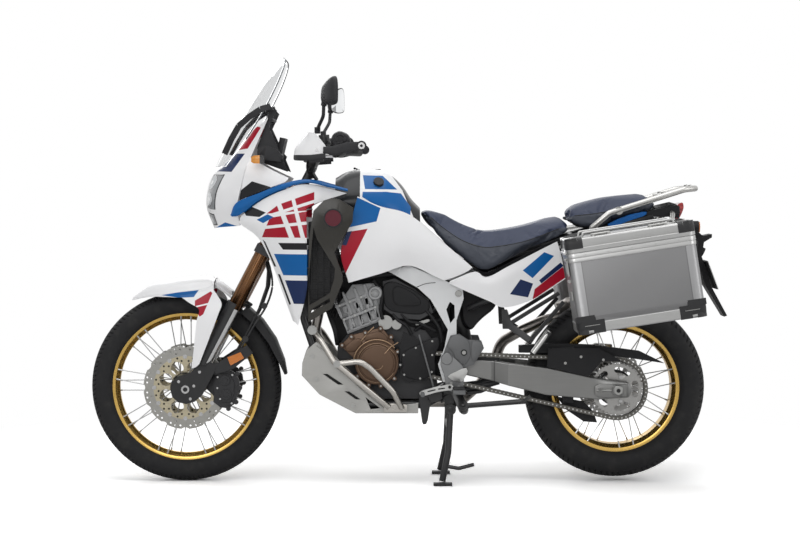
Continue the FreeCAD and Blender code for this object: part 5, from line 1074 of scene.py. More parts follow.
# ---- tank -----------------------------------------------------------------------------------
# A pressed shell in blue lacquer with white edging, under a dark upper cover round the filler, with
# a rubber knob at each side. It sits over the spars and screws down behind the steering head.
tank_stations = [
    (-268, 1118, 1092, 1030, 950, 120, 176, 150), (-225, 1140, 1104, 1035, 925, 130, 188, 158),
    (-165, 1150, 1112, 1030, 915, 138, 190, 160), (-100, 1144, 1104, 1012, 905, 136, 180, 156),
    (-58, 1121, 1084, 996, 900, 124, 168, 150), (-22, 1086, 1056, 976, 895, 110, 152, 140),
    (8, 1042, 1018, 956, 890, 100, 138, 128), (40, 1008, 992, 940, 888, 82, 120, 112)]


def tank_surface(stations, rows, columns):
    """Closed skin through cross-sections: each is eased round its middle top, shoulder, widest line and
    foot, mirrored across the middle, and the ends shrink to a point."""
    sections = []
    for x, top, shoulder, wide, bottom, shoulder_y, wide_y, bottom_y in stations:
        half = [(x, 0.0, top), (x, 0.55 * shoulder_y, top - 4), (x, shoulder_y, shoulder), (x, wide_y, wide),
                (x, bottom_y, bottom)]
        left = [(px, -py, pz) for px, py, pz in half[:0:-1]]
        sections.append(left + half)
    arch = crowned(sections, rows, columns)
    foot = arch[:, :1] * 0.5 + arch[:, -1:] * 0.5
    ring = np.concatenate([arch, foot], axis=1)
    first = np.broadcast_to(ring[:1].mean(axis=1, keepdims=True), (1,) + ring.shape[1:])
    last = np.broadcast_to(ring[-1:].mean(axis=1, keepdims=True), (1,) + ring.shape[1:])
    return grid(np.concatenate([first, ring, last]), False, True)


tank_paint = lacquered("tank_paint", (0.014, 0.015, 0.017), (
    (white, [(-178, 1170), (-60, 1160), (-24, 1072), (20, 1012), (20, 940), (-178, 880)]),
    (blue, [(-168, 1128), (-96, 1126), (-44, 1076), (-160, 1078)]),
    (blue, [(-84, 1068), (-30, 1062), (6, 1012), (4, 984), (-104, 1008), (-170, 1050), (-168, 1068)]),
    (ink, [(-40, 1200), (-64, 1130), (-24, 1082), (30, 1010), (60, 1010), (60, 1200)])))
piece("tank_shell", [tank_surface(tank_stations, 90, 61)], tank_paint, "fuel_tank", crease=50)
piece("tank_side_knobs", both(pin((-112, 1095), -134, -147.5, 19, 40, (2, 12.5))), dark_plastic,
      bevel=0.002)
refined("fuel_cap", dark_plastic, crease=30, bevel=0.0015)


# ---- knee and tail covers -------------------------------------------------------------------
# Large moulded covers in white gloss paint with blocks of blue and red, which flank the tank and
# the seat and clip to the frame.
knee_table = [
    [(-186, -206, 1052), (-106, -194, 1017), (2, -170, 985), (118, -156, 890), (228, -150, 796)],
    [(-214, -216, 950), (-106, -206, 940), (0, -184, 920), (112, -162, 850), (214, -151, 782)],
    [(-246, -224, 850), (-108, -210, 860), (0, -184, 860), (104, -160, 806), (172, -148, 762)],
    [(-218, -218, 742), (-105, -192, 773), (-2, -164, 801), (92, -150, 762), (128, -144, 746)]]
knee_paint = lacquered("knee_paint", white, (
    (blue, [(-240, 1060), (-182, 1046), (-104, 1010), (-118, 962), (-250, 934)]),
    (red, [(-250, 920), (-150, 936), (-232, 770), (-262, 820)]),
    (navy, [(-240, 922), (-206, 928), (-226, 876), (-250, 880)])))
piece("knee_covers", both(shell(crowned(knee_table, 60, 90), 0.0035)), knee_paint,
      "knee_panels", crease=40, bevel=0.0009)
tail_table = [
    [(148, -150, 745), (236, -155, 779), (281, -160, 760), (360, -162, 800), (474, -160, 858), (536, -148, 888)],
    [(146, -149, 741), (226, -156, 742), (290, -166, 731), (380, -166, 760), (480, -158, 806), (552, -144, 830)],
    [(144, -147, 737), (204, -150, 709), (286, -160, 674), (346, -160, 650), (450, -152, 680), (566, -140, 752)]]
tail_paint = lacquered("tail_paint", white, (
    (blue, [(410, 784), (488, 850), (524, 836), (446, 756)]),
    (navy, [(364, 698), (402, 752), (448, 736), (430, 686)]),
    (red, [(446, 676), (454, 716), (556, 796), (574, 762)]),
    (navy, [(470, 748), (548, 812), (560, 800), (478, 736)])))
piece("tail_covers", both(shell(crowned(tail_table, 50, 70), 0.0035)), tail_paint,
      "tail_panels", crease=40, bevel=0.0009)


# ---- front end details ----------------------------------------------------------------------
# The fender is one white moulding: a beaked hood with side walls, a narrow tail that passes between
# the fork tubes, and a blade down each side; black castings, calipers and hose run beside it.
def fork_place(along, ahead, y):
    """Point so far up the steering axis, ahead of it and out to the side, in metres."""
    lean = math.radians(27.5)
    return np.array([-0.7665 + along * math.sin(lean) - ahead * math.cos(lean), y,
                     0.3216 + along * math.cos(lean) + ahead * math.sin(lean)])


def bar(path, width, height, steps=60, sides=20, squareness=3.0):
    """A bar along an eased path, in millimetres: round each place, a rounded rectangle whose edge follows
    |a|^n + |b|^n = 1. The first and last rings shrink to close it."""
    line = eased(np.array(path) / 1000.0, steps)
    along = np.gradient(line, axis=0)
    along = unit(along)
    side = np.cross(along, np.array([0.0, 0.0, 1.0]))
    weak = np.linalg.norm(side, axis=1, keepdims=True) < 0.15
    side = np.where(weak, np.array([0.0, 1.0, 0.0]), side)
    side = unit(side)
    up = np.cross(side, along)
    angle = circle(sides)
    across = np.sign(np.cos(angle)) * np.abs(np.cos(angle)) ** (2.0 / squareness)
    rise = np.sign(np.sin(angle)) * np.abs(np.sin(angle)) ** (2.0 / squareness)
    share = np.linspace(0.0, 1.0, steps)
    widths, heights = (np.interp(share, np.linspace(0.0, 1.0, np.size(size)), np.atleast_1d(size)) / 2000.0
                       for size in (width, height))
    rings = (line[:, None] + side[:, None] * (widths[:, None] * across)[:, :, None]
             + up[:, None] * (heights[:, None] * rise)[:, :, None])
    tips = [np.broadcast_to(line[:1, None], (1, sides, 3)), rings, np.broadcast_to(line[-1:, None], (1, sides, 3))]
    return grid(np.concatenate(tips), False, True)


hood_rows = []
for x, crown, y, crease_z, edge_z in ((-1018, 679, 16, 677, 673), (-948, 725, 56, 694, 683),
                                      (-885, 741, 86, 700, 684), (-824, 752, 101, 709, 684),
                                      (-746, 758, 107, 720, 700), (-711, 749, 107, 732, 712)):
    half = [(x, 0.0, crown), (x, 0.35 * y, crown - 0.05 * (crown - crease_z)),
            (x, 0.8 * y, crown - 0.42 * (crown - crease_z)), (x, y, crease_z), (x, y + 2, crease_z - 5),
            (x, y + 3, edge_z)]
    hood_rows.append([(px, -py, pz) for px, py, pz in half[:0:-1]] + half)
tail_rows = []
for x, crown, y, crease_z, edge_z in ((-709, 747, 67, 733, 720), (-680, 728, 67, 713, 700), (-650, 703, 66, 688, 676)):
    half = [(x, 0.0, crown), (x, 0.5 * y, crown - 2), (x, y, crease_z), (x, y + 2, edge_z)]
    tail_rows.append([(px, -py, pz) for px, py, pz in half[:0:-1]] + half)
blade_rows = [[(-838, -106, 690), (-772, -111, 700), (-714, -111, 714)],
              [(-800, -115, 664), (-746, -120, 676), (-697, -125, 692)],
              [(-764, -125, 640), (-722, -132, 650), (-681, -136, 662)],
              [(-772, -133, 598), (-731, -141, 606), (-692, -142, 626)],
              [(-781, -138, 512), (-752, -144, 515), (-729, -143, 528)],
              [(-790, -139, 427), (-775, -143, 432), (-762, -142, 443)]]
fender_paint = lacquered("fender_paint", white, (
    (blue, [(-944, 676), (-940, 690), (-846, 701), (-762, 716), (-790, 676), (-838, 682)]),
    (red, [(-779, 636), (-800, 660), (-722, 706), (-706, 690), (-689, 664), (-724, 640), (-756, 604), (-772, 566),
           (-778, 566)]),
    (white, [(-774, 648), (-776, 653), (-694, 673), (-692, 668)])))
piece("fender_shell", [shell(crowned(hood_rows, 60, 77), 0.0035, (0.0, 0.0, 1.0)),
                       shell(crowned(tail_rows, 24, 50), 0.0035, (0.0, 0.0, 1.0))] +
      both(shell(crowned(blade_rows, 70, 30), 0.0035)), fender_paint,
      "front_fender", "steering", crease=32, bevel=0.0009)
bright_steel = worn("bright_steel", (0.50, 0.50, 0.50), 0.2, 1.0, grain=500, depth=0.00001)
stanchion = rods([fork_place(0.112, 0.035, -0.105)], [fork_place(0.3445, 0.035, -0.105)], 0.0230, 40)
piece("fork_stanchions", both(stanchion), bright_steel, body="steering")
foot_bolts = [pin(place, -129.5, -134, 5.5, 16) for place in ((-762, 413), (-838, 378), (-783, 362), (-796, 315))]
axle_end = spun([(8, -130), (15, -130), (15, -137.5), (8, -137.5)], (-814.2, 349.5), 40)
piece("fork_foot_bolts", both(*foot_bolts, axle_end), spoke_steel, body="steering", crease=30,
      bevel=0.0006)
feet = [slab([(-811, 405), (-724, 447), (-699, 440), (-711, 407), (-732, 368), (-752, 330), (-780, 305), (-811, 296),
              (-842, 303), (-862, 322), (-869, 350), (-862, 378), (-840, 398)], -122, -131.6, (-811, 350)),
        slab([(-742, 444), (-698, 444), (-660, 470), (-590, 511), (-568, 482), (-640, 424), (-700, 405)], -124, -131,
             (-668, 446))]
piece("fork_foot_castings", both(*feet), cast_black, body="steering", crease=30, bevel=0.0025)
reflector_amber = Finish("reflector_amber", (0.55, 0.16, 0.015), 0.16, 0.0, coat_weight=0.6)
prisms = reflector_amber.node("ShaderNodeTexChecker", {}, {
    "Vector": reflector_amber.coordinates, "Scale": 260.0}, "Fac")
reflector_amber.paint(prisms, (0.62, 0.20, 0.02), (0.50, 0.13, 0.010))
reflector_amber.set("Roughness", reflector_amber.noise(300.0) * 0.2 + 0.1)
piece("fork_reflectors", both(slab([(-661, 467), (-612, 486), (-600, 464), (-649, 437)], -131.5, -138)),
      reflector_amber, body="steering", bevel=0.0012)
caliper = [slab([(-726, 392), (-693, 421), (-664, 420), (-641, 410), (-622, 383), (-618, 352), (-630, 318), (-641, 292),
                 (-657, 276), (-690, 280), (-716, 300), (-712, 340)], -84, -97, (-672, 350)),
           slab([(-700, 404), (-656, 402), (-638, 372), (-640, 330), (-652, 300), (-684, 300), (-696, 340)], -97, -104,
                (-668, 352))]
for bore in ((-672, 380), (-668, 328)):
    caliper += [pin(bore, -98, -110, 19, 28), pin(bore, -98, -112.5, 11, 6)]
caliper += [pin(knob, -92, -105, 8.5, 20)
            for knob in ((-628, 404), (-618, 352), (-632, 300), (-660, 276), (-706, 408))]
piece("caliper_bodies", both(*caliper), satin_black, body="steering", crease=30, bevel=0.0014)
caliper_pins = [pin(place, -103.5, -105.7, 3.6, 12)
                for place in ((-699, 392), (-690, 312), (-648, 296), (-645, 400), (-700, 352))]
piece("caliper_pins", both(*caliper_pins), spoke_steel, body="steering")
flap_black = worn("flap_black", (0.016, 0.016, 0.017), 0.6, grain=800, depth=0.00005, specular_ior_level=0.3)
hose_black = worn("hose_black", (0.012, 0.012, 0.013), 0.42, grain=900, depth=0.00002, specular_ior_level=0.4)
refined("front_mudflap", flap_black, crease=24, bevel=0.0012)
refined("brake_hoses", hose_black, crease=60)
more_hoses = [bar([(-660, -y, 412), (-632, -y, 462), (-600, -y, 520), (-560, -104, 590), (-522, -92, 650),
                   (-500, -84, 720), (-508, -74, 786), (-530, -62, 820)], 7.5, 7.5, 70, 10, 2.0) for y in (112, 122)]
clips = [pin((-528, 652), -110, -88, 11), pin((-596, 532), -128, -106, 11)]
piece("brake_hose_runs", more_hoses + clips, hose_black, body="steering")


# ---- handlebar, hand guards and mirrors -----------------------------------------------------
# Tapered black bar with rubber grips, lever perches and switch blocks; white hand shells with a
# black lower lip stand ahead of the grips on arms bolted to the bar's ends.
bar_black = worn("bar_black", (0.016, 0.016, 0.017), 0.4, grain=700, depth=0.00002, specular_ior_level=0.4)
refined("handlebar", bar_black, crease=32, bevel=0.0015)
guard_rows = []
for z, tail, front, inner in ((1275, -332, -359, -350), (1250, -309, -377, -368), (1222, -288, -399, -388),
                              (1197, -280, -404, -394)):
    guard_rows.append([(inner + 6, -326, z), (inner, -344, z), (front, -400, z), (front + 8, -448, z),
                       (0.4 * tail + 0.6 * front, -473, z), (tail, -478, z)])
piece("hand_shells", both(shell(crowned(guard_rows, 40, 60), 0.0035, (-1.0, 0.0, 0.0))),
      lacquered("hand_shell_paint", white), "handguards", "steering", crease=32, bevel=0.0009)
lips = [bar([(-386, -328, 1192), (-402, -400, 1190), (-392, -450, 1188), (-352, -474, 1187), (-292, -478, 1193)],
            7, 20, 50, 16, 3.0), bar([(-350, -470, 1180), (-300, -474, 1184)], 7, 22, 12, 16, 3.0)]
arm = bar([(-300, -479, 1214), (-262, -480, 1213), (-215, -480, 1224), (-170, -479, 1228)], 9.5, (22, 32, 34, 30),
          40, 18, 3.5)
piece("hand_guard_arms", both(*lips, arm, pin((-168, 1228.5), -474, -486, 17.5, 32)), dark_plastic,
      body="steering", crease=34)
end_ring = spun([(5, -485), (11.5, -485), (11.5, -488.5), (5, -488.5)], (-168, 1228.5), 36)
piece("bar_end_rings", both(end_ring, pin((-322, 1214), -477.2, -479.7, 4.5, 16)), spoke_steel,
      body="steering")

mirror_turn = math.radians(20.0)
mirror_across = np.array([-math.sin(mirror_turn), math.cos(mirror_turn), 0.0])
mirror_back = np.array([-math.cos(mirror_turn), -math.sin(mirror_turn), 0.0])
mirror_centre = np.array([-0.2720, -0.4208, 1.4150])
mirror_outline = np.array([(62, -40), (70, -10), (52, 26), (-8, 48), (-50, 54), (-70, 34), (-73, -18), (-62, -40),
                           (0, -46)]) / 1000.0


def mirror_loops(levels, count=60):
    """Rings round the mirror's outline, eased closed, each so far behind the glass and so much smaller."""
    wrapped = np.concatenate([mirror_outline[-2:], mirror_outline, mirror_outline[:3]])
    smooth = eased(wrapped, (len(wrapped) - 1) * 8 + 1)[16:-16 - 8][:len(mirror_outline) * 8]
    rings = []
    for depth, scale in levels:
        rings.append(mirror_centre + scale * (smooth[:, :1] * mirror_across + smooth[:, 1:] * np.array([0, 0, 1.0]))
                     + depth * mirror_back)
    return np.stack(rings)


shell_levels = [(0.0015, 0.0), (0.0015, 0.93), (0.0, 0.955), (0.0010, 0.99), (0.004, 1.0), (0.010, 0.975),
                (0.017, 0.89), (0.024, 0.70), (0.0285, 0.42), (0.030, 0.0)]
stalk = bar([(-325, -318, 1280), (-322, -330, 1296), (-305, -368, 1330), (-302, -376, 1352), (-301, -384, 1384)],
            12.5, 12.5, 40, 14, 2.0)
knuckles = [pin((-301, 1370), -384, -380, 10.5, 20, (4, 22)), pin((-325.5, 1274), -316, -317, 12, 6, (0, 23))]
piece("mirror_heads", both(grid(mirror_loops(shell_levels), False, True), stalk, *knuckles), dark_plastic,
      "mirrors", "steering", crease=38)
silvered = Finish("silvered", (0.82, 0.83, 0.84), 0.03, 1.0)
silver_haze = silvered.noise(40.0)
silvered.set("Roughness", silver_haze * 0.03 + 0.01)
silvered.paint(silver_haze, (0.78, 0.79, 0.80), (0.85, 0.86, 0.87))
glass_levels = [(0.0012, 0.0), (0.0012, 0.925), (0.0002, 0.935), (-0.0002, 0.925), (-0.0002, 0.0)]
piece("mirror_glasses", both(grid(mirror_loops(glass_levels), False, True)), silvered, body="steering")
switch_outline = [(-280, 1242), (-270, 1272), (-246, 1284), (-216, 1272), (-204, 1248), (-222, 1228), (-262, 1226)]
switch_parts = [pad(switch_outline, -350, -392, 7), arc((-244, 1254), 15, 0, 360, -392, 3, 32),
                slab([(-262, 1246), (-250, 1246), (-250, 1260), (-262, 1260)], -388, -396),
                pin((-228, 1252), -388, -397, 7, 24)]
piece("switch_blocks", both(*switch_parts), dark_plastic, body="steering", crease=34, bevel=0.001)
cable_lines = [[(-300, -196, 1236), (-326, -160, 1232), (-350, -128, 1214), (-366, -100, 1184), (-370, -78, 1150),
                (-354, -66, 1118)],
               [(-296, -190, 1222), (-318, -156, 1218), (-338, -126, 1200), (-352, -98, 1172), (-356, -78, 1142),
                (-340, -66, 1112)]]
piece("control_cables", both(*[hose(line, 4.8) for line in cable_lines]), hose_black, body="steering")


# ---- seats ----------------------------------------------------------------------------------
# Two foam cushions in heat-sealed vinyl, slate blue on top and dark grey on the flanks, with a
# piped seam between them, on plastic bases that clip over the rear frame.
def cushion_loops(stations, shrink):
    """Closed loop round the seat at each station: a crown that falls to its edge, an upright flank down
    to the skirt, then the flat base, the whole drawn in by the shrink and eased along and around."""
    loops = []
    for x, top, under, skirt, half in stations:
        top, half = top - shrink, half - shrink
        right = [(0.0, top), (0.34 * half, top - 1.0), (0.64 * half, top - 6.0), (0.86 * half, top - 17.0),
                 (half, top - 38.0 if top - 38.0 > skirt + 8.0 else 0.5 * (top + skirt)),
                 (half, 0.5 * (top - 30.0 + skirt)), (0.97 * half, skirt + 3.0), (0.86 * half, skirt + 3.0),
                 (0.80 * half, under), (0.4 * half, under)]
        left = [(-y, z) for y, z in right[:0:-1]]
        loops.append([(x, y, z) for y, z in right + [(0.0, under)] + left])
    lengthwise = eased(np.array(loops) / 1000.0, 70)
    wrapped = np.concatenate([lengthwise, lengthwise[:, :1]], axis=1)
    around = eased(wrapped.swapaxes(0, 1), 97).swapaxes(0, 1)[:, :-1]
    middle = around.mean(axis=1, keepdims=True)
    beyond = np.array([0.006, 0.0, 0.0])
    ends = [np.broadcast_to(middle[:1], around[:1].shape), middle[:1] + 0.82 * (around[:1] - middle[:1]) - beyond,
            around, middle[-1:] + 0.82 * (around[-1:] - middle[-1:]) + beyond,
            np.broadcast_to(middle[-1:], around[:1].shape)]
    return grid(np.concatenate(ends), False, True)


def baked(made):
    """Puts what the modifiers make of a piece into its own mesh."""
    mesh = bpy.data.meshes.new_from_object(made.evaluated_get(bpy.context.evaluated_depsgraph_get()))
    made.modifiers.clear()
    made.data = mesh


def stuffed(made, voxel, reach, pressure=4.0):
    """Remeshes a piece, fills it like a cushion as simulated cloth, lets no point go further than the
    reach, and rounds it with one subdivision."""
    remesh = made.modifiers.new("remesh", "REMESH")
    remesh.mode = "VOXEL"
    remesh.voxel_size = voxel
    baked(made)
    count = len(made.data.vertices)
    before = np.empty(3 * count)
    made.data.vertices.foreach_get("co", before)
    cloth = made.modifiers.new("fill", "CLOTH")
    cloth.settings.quality = 5
    cloth.settings.mass = 0.3
    cloth.settings.use_pressure = True
    cloth.settings.uniform_pressure_force = pressure
    cloth.settings.effector_weights.gravity = 0.0
    cloth.collision_settings.use_collision = False
    cloth.point_cache.frame_start = 1
    cloth.point_cache.frame_end = 20
    for moment in range(1, 21):
        scene.frame_set(moment)
    baked(made)
    scene.frame_set(1)
    after_filling = np.empty(3 * count)
    made.data.vertices.foreach_get("co", after_filling)
    move = (after_filling - before).reshape(-1, 3)
    far = np.linalg.norm(move, axis=1, keepdims=True)
    move = move * np.minimum(1.0, reach / np.maximum(far, 1e-9))
    made.data.vertices.foreach_set("co", before + move.ravel())
    made.data.polygons.foreach_set("use_smooth", np.ones(len(made.data.polygons), dtype=bool))
    smooth = made.modifiers.new("smooth", "SUBSURF")
    smooth.levels = smooth.render_levels = 1


def flank_seam(made, line, side, sink=0.0):
    """Points where a level ray from one side meets the cushion, at places (x, z) along its seam."""
    tree = bvhtree.BVHTree.FromObject(made, bpy.context.evaluated_depsgraph_get())
    found = []
    for x, z in eased(np.array(line, dtype=float) / 1000.0, 90):
        hit = tree.ray_cast(Vector((x, side * 0.4, z)), Vector((0.0, -side, 0.0)))[0]
        if hit is not None:
            found.append((x, hit[1] - side * sink, z))
    return np.array(found)


def vinyl(name, line):
    """Vinyl whose colour changes below the seam: height is read against a curve of x."""
    finish = Finish(name, (0.03, 0.036, 0.05), 0.5, 0.0, specular_ior_level=0.35)
    line = np.array(line, dtype=float) / 1000.0
    seam_height = None
    for first, second in zip(line[:-1], line[1:]):
        share = finish.node("ShaderNodeMapRange", {}, {"Value": finish.x, "From Min": float(first[0]),
                                                       "From Max": float(second[0])})
        rise = share * float(second[1] - first[1])
        seam_height = rise + float(line[0][1]) if seam_height is None else seam_height + rise
    above = (finish.z - seam_height).step(-0.0008, 0.0008)
    grain = finish.noise(900.0, 2.0)
    cloud = finish.noise(7.0, 3.0)
    top = finish.mix(cloud, (0.019, 0.027, 0.056), (0.028, 0.037, 0.072))
    side = finish.mix(cloud, (0.023, 0.028, 0.040), (0.032, 0.037, 0.051))
    finish.paint(above, side, top)
    finish.set("Roughness", grain * 0.2 + 0.42)
    finish.relief(grain, 0.00012)
    return finish


front_stations = [(48, 1012, 998, 992, 80), (80, 1000, 958, 940, 96), (130, 962, 912, 870, 114),
                  (200, 926, 882, 812, 132), (280, 906, 872, 782, 146), (390, 920, 884, 824, 152),
                  (470, 940, 900, 868, 150), (545, 964, 924, 906, 136), (584, 962, 940, 928, 122)]
rear_stations = [(562, 986, 976, 966, 92), (602, 1008, 962, 944, 112), (650, 1018, 958, 936, 118),
                 (700, 1026, 960, 940, 120), (850, 1048, 996, 990, 120), (900, 1046, 1020, 1016, 100)]
front_line = [(40, 996), (80, 974), (130, 932), (200, 888), (280, 866), (390, 882), (470, 906), (545, 934), (600, 944)]
rear_line = [(550, 966), (602, 980), (700, 992), (850, 1022), (915, 1034)]
slack = 5.0
for name, node, stations, line in (("rider", "seat_front", front_stations, front_line),
                                   ("pillion", "seat_rear", rear_stations, rear_line)):
    seat = piece(name + "_seat", [cushion_loops(stations, slack)], vinyl(name + "_vinyl", line), node)
    stuffed(seat, 0.006, 0.024)
    piping = [run(flank_seam(seat, line[1:-1], side, 0.0004), 0.0016, 8) for side in (-1.0, 1.0)]
    piece(name + "_seat_piping", piping, slot_black, crease=80)
base_rows = [[(228, -140, 800), (284, -146, 776), (390, -148, 826), (474, -146, 868), (548, -134, 902)],
             [(232, -136, 786), (284, -140, 762), (396, -142, 806), (480, -140, 850), (552, -130, 886)]]
piece("seat_bases", both(shell(crowned(base_rows, 8, 60), 0.004)), soft_black)


# ---- tail, lamp and luggage rack ------------------------------------------------------------
# A black plastic tail tray with a red lamp and a plate holder, and a rack of welded aluminium
# tube with a drilled plate that screws over it.
refined("rear_mudguard", soft_black, bevel=0.0025)
rack_metal = brushed("rack_metal", (0.46, 0.455, 0.44), 0.34, (0.2, 1.0, 0.4))
refined("luggage_rack", rack_metal, crease=40, bevel=0.0012)
strip = [(716, 946), (752, 966), (800, 985), (866, 998), (862, 982), (800, 962), (750, 940)]
tail_side = [(864, 998), (930, 1012), (984, 1020), (990, 984), (930, 974), (860, 980)]
piece("tail_strips", both(pad(strip, -98, -107, 2, 1)), lacquered("tail_blue", (0.006, 0.12, 0.42)),
      crease=28)
piece("tail_cheeks", both(pad(tail_side, -80, -96, 3, 1)), soft_black, crease=28)
lamp_red = Finish("lamp_red", (0.42, 0.012, 0.016), 0.16, 0.0, coat_weight=0.6, coat_roughness=0.05)
cells = (lamp_red.y * 160.0).math("SINE") * (lamp_red.z * 400.0).math("SINE")
lamp_red.paint(cells * 0.5 + 0.5, (0.32, 0.006, 0.010), (0.55, 0.03, 0.03))
lamp_red.relief(cells, 0.0003)
lens = [(984, 1024), (1002, 1030), (1006, 1008), (990, 970), (970, 968), (976, 1000)]
piece("tail_lamp_lens", [pad(lens, -66, 66, 4, 2)], lamp_red, crease=30)
amber_rear = Finish("amber_rear", (0.55, 0.16, 0.01), 0.18, 0.0, coat_weight=0.5, coat_roughness=0.05)
ripple = (amber_rear.z * 700.0).math("SINE")
amber_rear.paint(ripple * 0.5 + 0.5, (0.48, 0.12, 0.008), (0.62, 0.2, 0.02))
amber_rear.relief(ripple, 0.0003)
piece("rear_indicator_lenses", both(rods([(1.0505, -0.112, 0.940)], [(1.0560, -0.112, 0.940)], 0.0195, 40)),
      amber_rear, crease=40)
plate_white = worn("plate_white", (0.62, 0.62, 0.60), 0.5, grain=300, depth=0.00003, variation=0.04)
piece("number_plate", [slab([(1089.6, 815), (1092, 815.6), (1131.4, 711.6), (1129, 711)], -92, 92)], plate_white,
      bevel=0.0006)
piece("plate_lamp", [rods([(1.072, 0.0, 0.850)], [(1.088, 0.0, 0.842)], 0.018, 24)], soft_black)
rack_slope = math.radians(14.5)
rise, run_back = math.sin(rack_slope), math.cos(rack_slope)
rack_screws = []
for along in (0.020, 0.122):
    place = np.array([0.912 + along * run_back - 0.006 * rise, -0.051, 1.052 + along * rise + 0.006 * run_back])
    rack_screws.append(rods([place], [place + np.array([-0.0011, 0.0, 0.0045])], 0.0075, 6))
piece("rack_screws", both(*rack_screws), zinc_screw)
feet = [pin((668, 936), -139, -122, 15, 24), pin((760, 999.5), -142, -118, 14.5, 24)]
piece("rack_feet", both(*feet), zinc_screw)


# ---- side cases -----------------------------------------------------------------------------
# Hollow boxes of 3 mm aluminium sheet, folded and riveted to pressed rims, with moulded black
# corner caps, over-centre latches and lids that hinge at their front edge.
box_slope = math.radians(8.8)


def case_place(points):
    """Turns box axes (along, outward, up) in millimetres into the machine's, on its left side."""
    points = np.asarray(points, dtype=float) / 1000.0
    along, outward, up = points[..., 0], points[..., 1], points[..., 2]
    return np.stack([0.588 + along * math.cos(box_slope) - up * math.sin(box_slope), -outward,
                     0.574 + along * math.sin(box_slope) + up * math.cos(box_slope)], axis=-1)


def hooped(profile, corner=24.0):
    """Rim round the box: a closed profile of (outset, up) carried round a rectangle with round corners."""
    profile = np.array(profile, dtype=float)
    angle = np.radians(np.concatenate([np.linspace(first, first + 90.0, 12) for first in (0, 90, 180, 270)]))
    centre = np.repeat([(446.0 - corner, 484.0 - corner), (corner, 484.0 - corner), (corner, 246.0 + corner),
                        (446.0 - corner, 246.0 + corner)], 12, axis=0)
    out = np.stack([np.cos(angle), np.sin(angle)], axis=1)
    flat = centre[:, None] + (corner + profile[None, :, :1]) * out[:, None]
    up = np.broadcast_to(profile[None, :, 1:], flat[..., :1].shape)
    return grid(case_place(np.concatenate([flat, up], axis=-1)), True, True)


def corner_cap(corner, reach, power=6.0, steps=14):
    """Domed cap over a corner: the eighth of a superellipsoid |a|^n + |b|^n + |c|^n = 1 that points away
    from the box, met by three fans of directions; its border turns in towards the sheet."""
    share = np.concatenate([[0.0, 0.0], np.linspace(0.03, 1.0, steps)])
    first, second = np.meshgrid(share, share, indexing="ij")
    pull = np.ones(len(share))
    pull[0] = 0.93
    shapes = []
    for axis in range(3):
        direction = np.stack([np.ones_like(first), first, second], axis=-1)
        direction = np.roll(direction, axis, axis=-1)
        length = (np.abs(direction) ** power).sum(axis=-1) ** (-1.0 / power)
        point = direction * (length * np.minimum(pull[:, None], pull[None, :]))[..., None]
        shapes.append(grid(case_place(np.array(corner) + point * np.array(reach))))
    return shapes


def case_block(*spans):
    """Plain block in box axes."""
    corners, faces = brick(*spans)
    return case_place(1000.0 * corners), faces


def case_rod(start, end, radius, sides=16):
    """Round bar in box axes."""
    ends = case_place([start, end])
    return rods(ends[:1], ends[1:], radius / 1000.0, sides)


def case_metal(name, colour, roughness, capped, lid=False):
    """Brushed sheet with a painted highlight along its folded edges and a fine line of painted shade where each
    fold begins; its moulded corners are black as far from each end as the cap reaches."""
    finish = Finish(name, colour, roughness, 1.0)
    x, z = finish.x - 0.588, finish.z - 0.574
    along = x * math.cos(box_slope) + z * math.sin(box_slope)
    up = z * math.cos(box_slope) - x * math.sin(box_slope)
    line = finish.noise(320.0, 3.0, (0.05, 1.0, 1.0))
    cloud = finish.noise(4.0, 4.0)
    sheet = finish.mix(line * 0.35 + cloud * 0.65, shade(colour, 0.90), shade(colour, 1.10))
    # Painted highlight along the folded end edges and the lower edge, then painted shade where each fold begins.
    edge = (along.step(0.044, 0.040)).most(along.step(0.404, 0.408))
    fold_shade = ((along - 0.042).math("ABSOLUTE").step(0.0022, 0.0008)).most(
        (along - 0.406).math("ABSOLUTE").step(0.0022, 0.0008))
    low = up.step(0.040, 0.036)
    sheet = finish.mix(edge.most(low), sheet, shade(colour, 1.5))
    sheet = finish.mix(fold_shade * 0.55, sheet, shade(colour, 0.35))
    out = finish.y.math("ABSOLUTE")
    ends = (along.step(capped, capped - 0.0006)).most(along.step(0.446 - capped, 0.4466 - capped))
    sides = out.step(0.484 - capped, 0.4846 - capped)
    if lid:
        sides = sides.most(out.step(0.246 + capped, 0.2454 + capped))
        level = up.step(0.2986, 0.2990)
    else:
        level = up.step(0.0578, 0.0574)
    cap = ends * sides * level
    finish.paint(cap, sheet, (0.013, 0.013, 0.014))
    finish.set("Metallic", 1.0 - cap)
    finish.set("Roughness", line * 0.14 + (roughness - 0.07))
    finish.relief(line, 0.00002)
    return finish


case_sheet = case_metal("case_sheet", (0.185, 0.185, 0.187), 0.42, 0.033)
rim_metal = brushed("rim_metal", (0.42, 0.42, 0.415), 0.34, (0.05, 1.0, 1.0))
lid_metal = case_metal("lid_metal", (0.40, 0.40, 0.395), 0.36, 0.038, True)
cap_plastic = worn("cap_plastic", (0.013, 0.013, 0.014), 0.5, grain=420, depth=0.00009, variation=0.15,
                   specular_ior_level=0.4)
for node in ("pannier_box_left", "pannier_box_right"):
    refined(node, case_sheet, crease=28, bevel=0.0008)
for node in ("pannier_lid_left", "pannier_lid_right"):
    refined(node, lid_metal, crease=28, bevel=0.0008)
box_rims = [hooped([(-2, 250), (0.4, 250), (1.8, 251.5), (2, 262), (1.2, 263.5), (1.2, 265), (2.4, 266.5), (2.4, 279),
                    (1.4, 281), (-2, 281)]), hooped([(-2, 3), (0.8, 3), (1.8, 4.4), (1.8, 34), (0.6, 36), (-2, 36)])]
piece("case_rims", both(*box_rims), rim_metal, crease=30)
low_caps = corner_cap((62, 428, 56), (-66, 60, -60)) + corner_cap((384, 428, 56), (66, 60, -60))
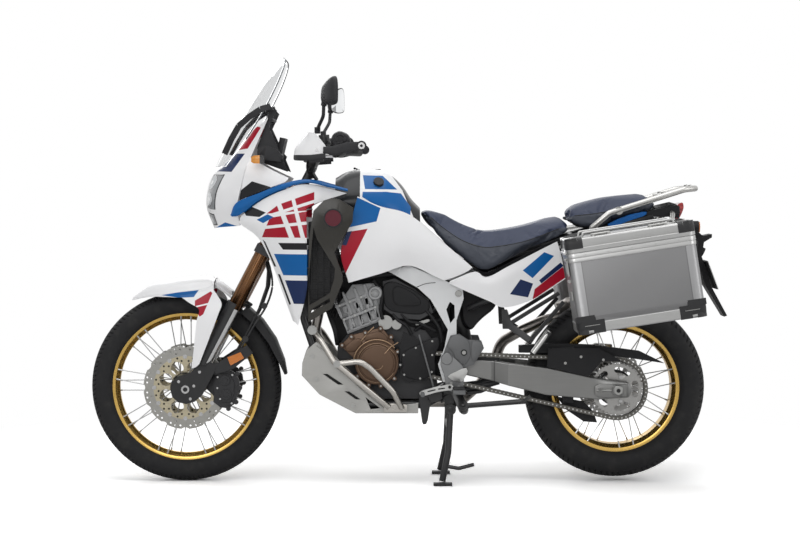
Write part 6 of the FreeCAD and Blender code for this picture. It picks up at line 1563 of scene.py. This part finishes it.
low_caps += [case_block(-3.6, 60, 478, 487.6, 40, 62), case_block(386, 449.6, 478, 487.6, 40, 62),
             case_block(50, 92, 478, 487.6, -2, 44), case_block(354, 396, 478, 487.6, -2, 44)]
piece("case_foot_caps", both(*low_caps), cap_plastic, crease=24, bevel=0.001)
marks = [case_block(22, 74, 486, 488.6, 26, 28), case_block(372, 424, 486, 488.6, 26, 28)]
piece("case_foot_marks", both(*marks), zinc_screw)
latch = [case_block(-7.5, -2, 420, 462, 206, 268), case_block(-10.5, -6.5, 426, 456, 212, 250),
         case_rod((-8, 420, 262), (-8, 462, 262), 4.5), case_block(-6, -1, 424, 458, 120, 150),
         case_rod((-5, 430, 186), (-5, 452, 186), 6), case_block(447, 452.5, 340, 390, 196, 230),
         case_rod((451, 336, 214), (451, 394, 214), 4.5)]
piece("case_latches", both(*latch), zinc_screw, crease=30, bevel=0.0008)
rivets = [case_rod((a, 485.2, 19), (a, 486.9, 19), 3.4, 12) for a in (112, 168, 223, 278, 334)]
rivets += [case_rod((a, 485.2, 272.5), (a, 487.3, 272.5), 2.8, 12) for a in (60, 140, 223, 306, 386)]
piece("case_rivets", both(*rivets), rim_metal)
lift = 282.3
lid_rim = [(-2, lift + 1), (1.4, lift + 1), (2.6, lift + 2.4), (2.6, lift + 15), (1.4, lift + 17), (-2, lift + 17)]
caps = []
for a, turn in ((56, -1), (390, 1)):
    for o, out in ((428, 1), (302, -1)):
        caps += corner_cap((a, o, lift + 14), (turn * 59.8, out * 59.8, 40), 5.6)
eyelets = []
for a0, a1 in ((96, 150), (296, 350)):
    eyelets += [case_rod((a, 470, lift + 40), (a, 470, lift + 57), 7.5, 20) for a in (a0, a1)]
    eyelets.append(case_rod((a0 - 6, 470, lift + 55), (a1 + 6, 470, lift + 55), 4.5, 14))
for side, hand in enumerate(("left", "right")):
    for name, shapes, finish, slot in (("lid_rim_", [hooped(lid_rim)], rim_metal, "box_aluminium"),
                                       ("lid_caps_", caps, cap_plastic, "black_plastic"),
                                       ("lid_eyelets_", eyelets, zinc_screw, "box_aluminium")):
        piece(name + hand, [mirror_of(shape) for shape in shapes] if side else shapes, finish,
              body="pannier_lid_" + hand, crease=26)
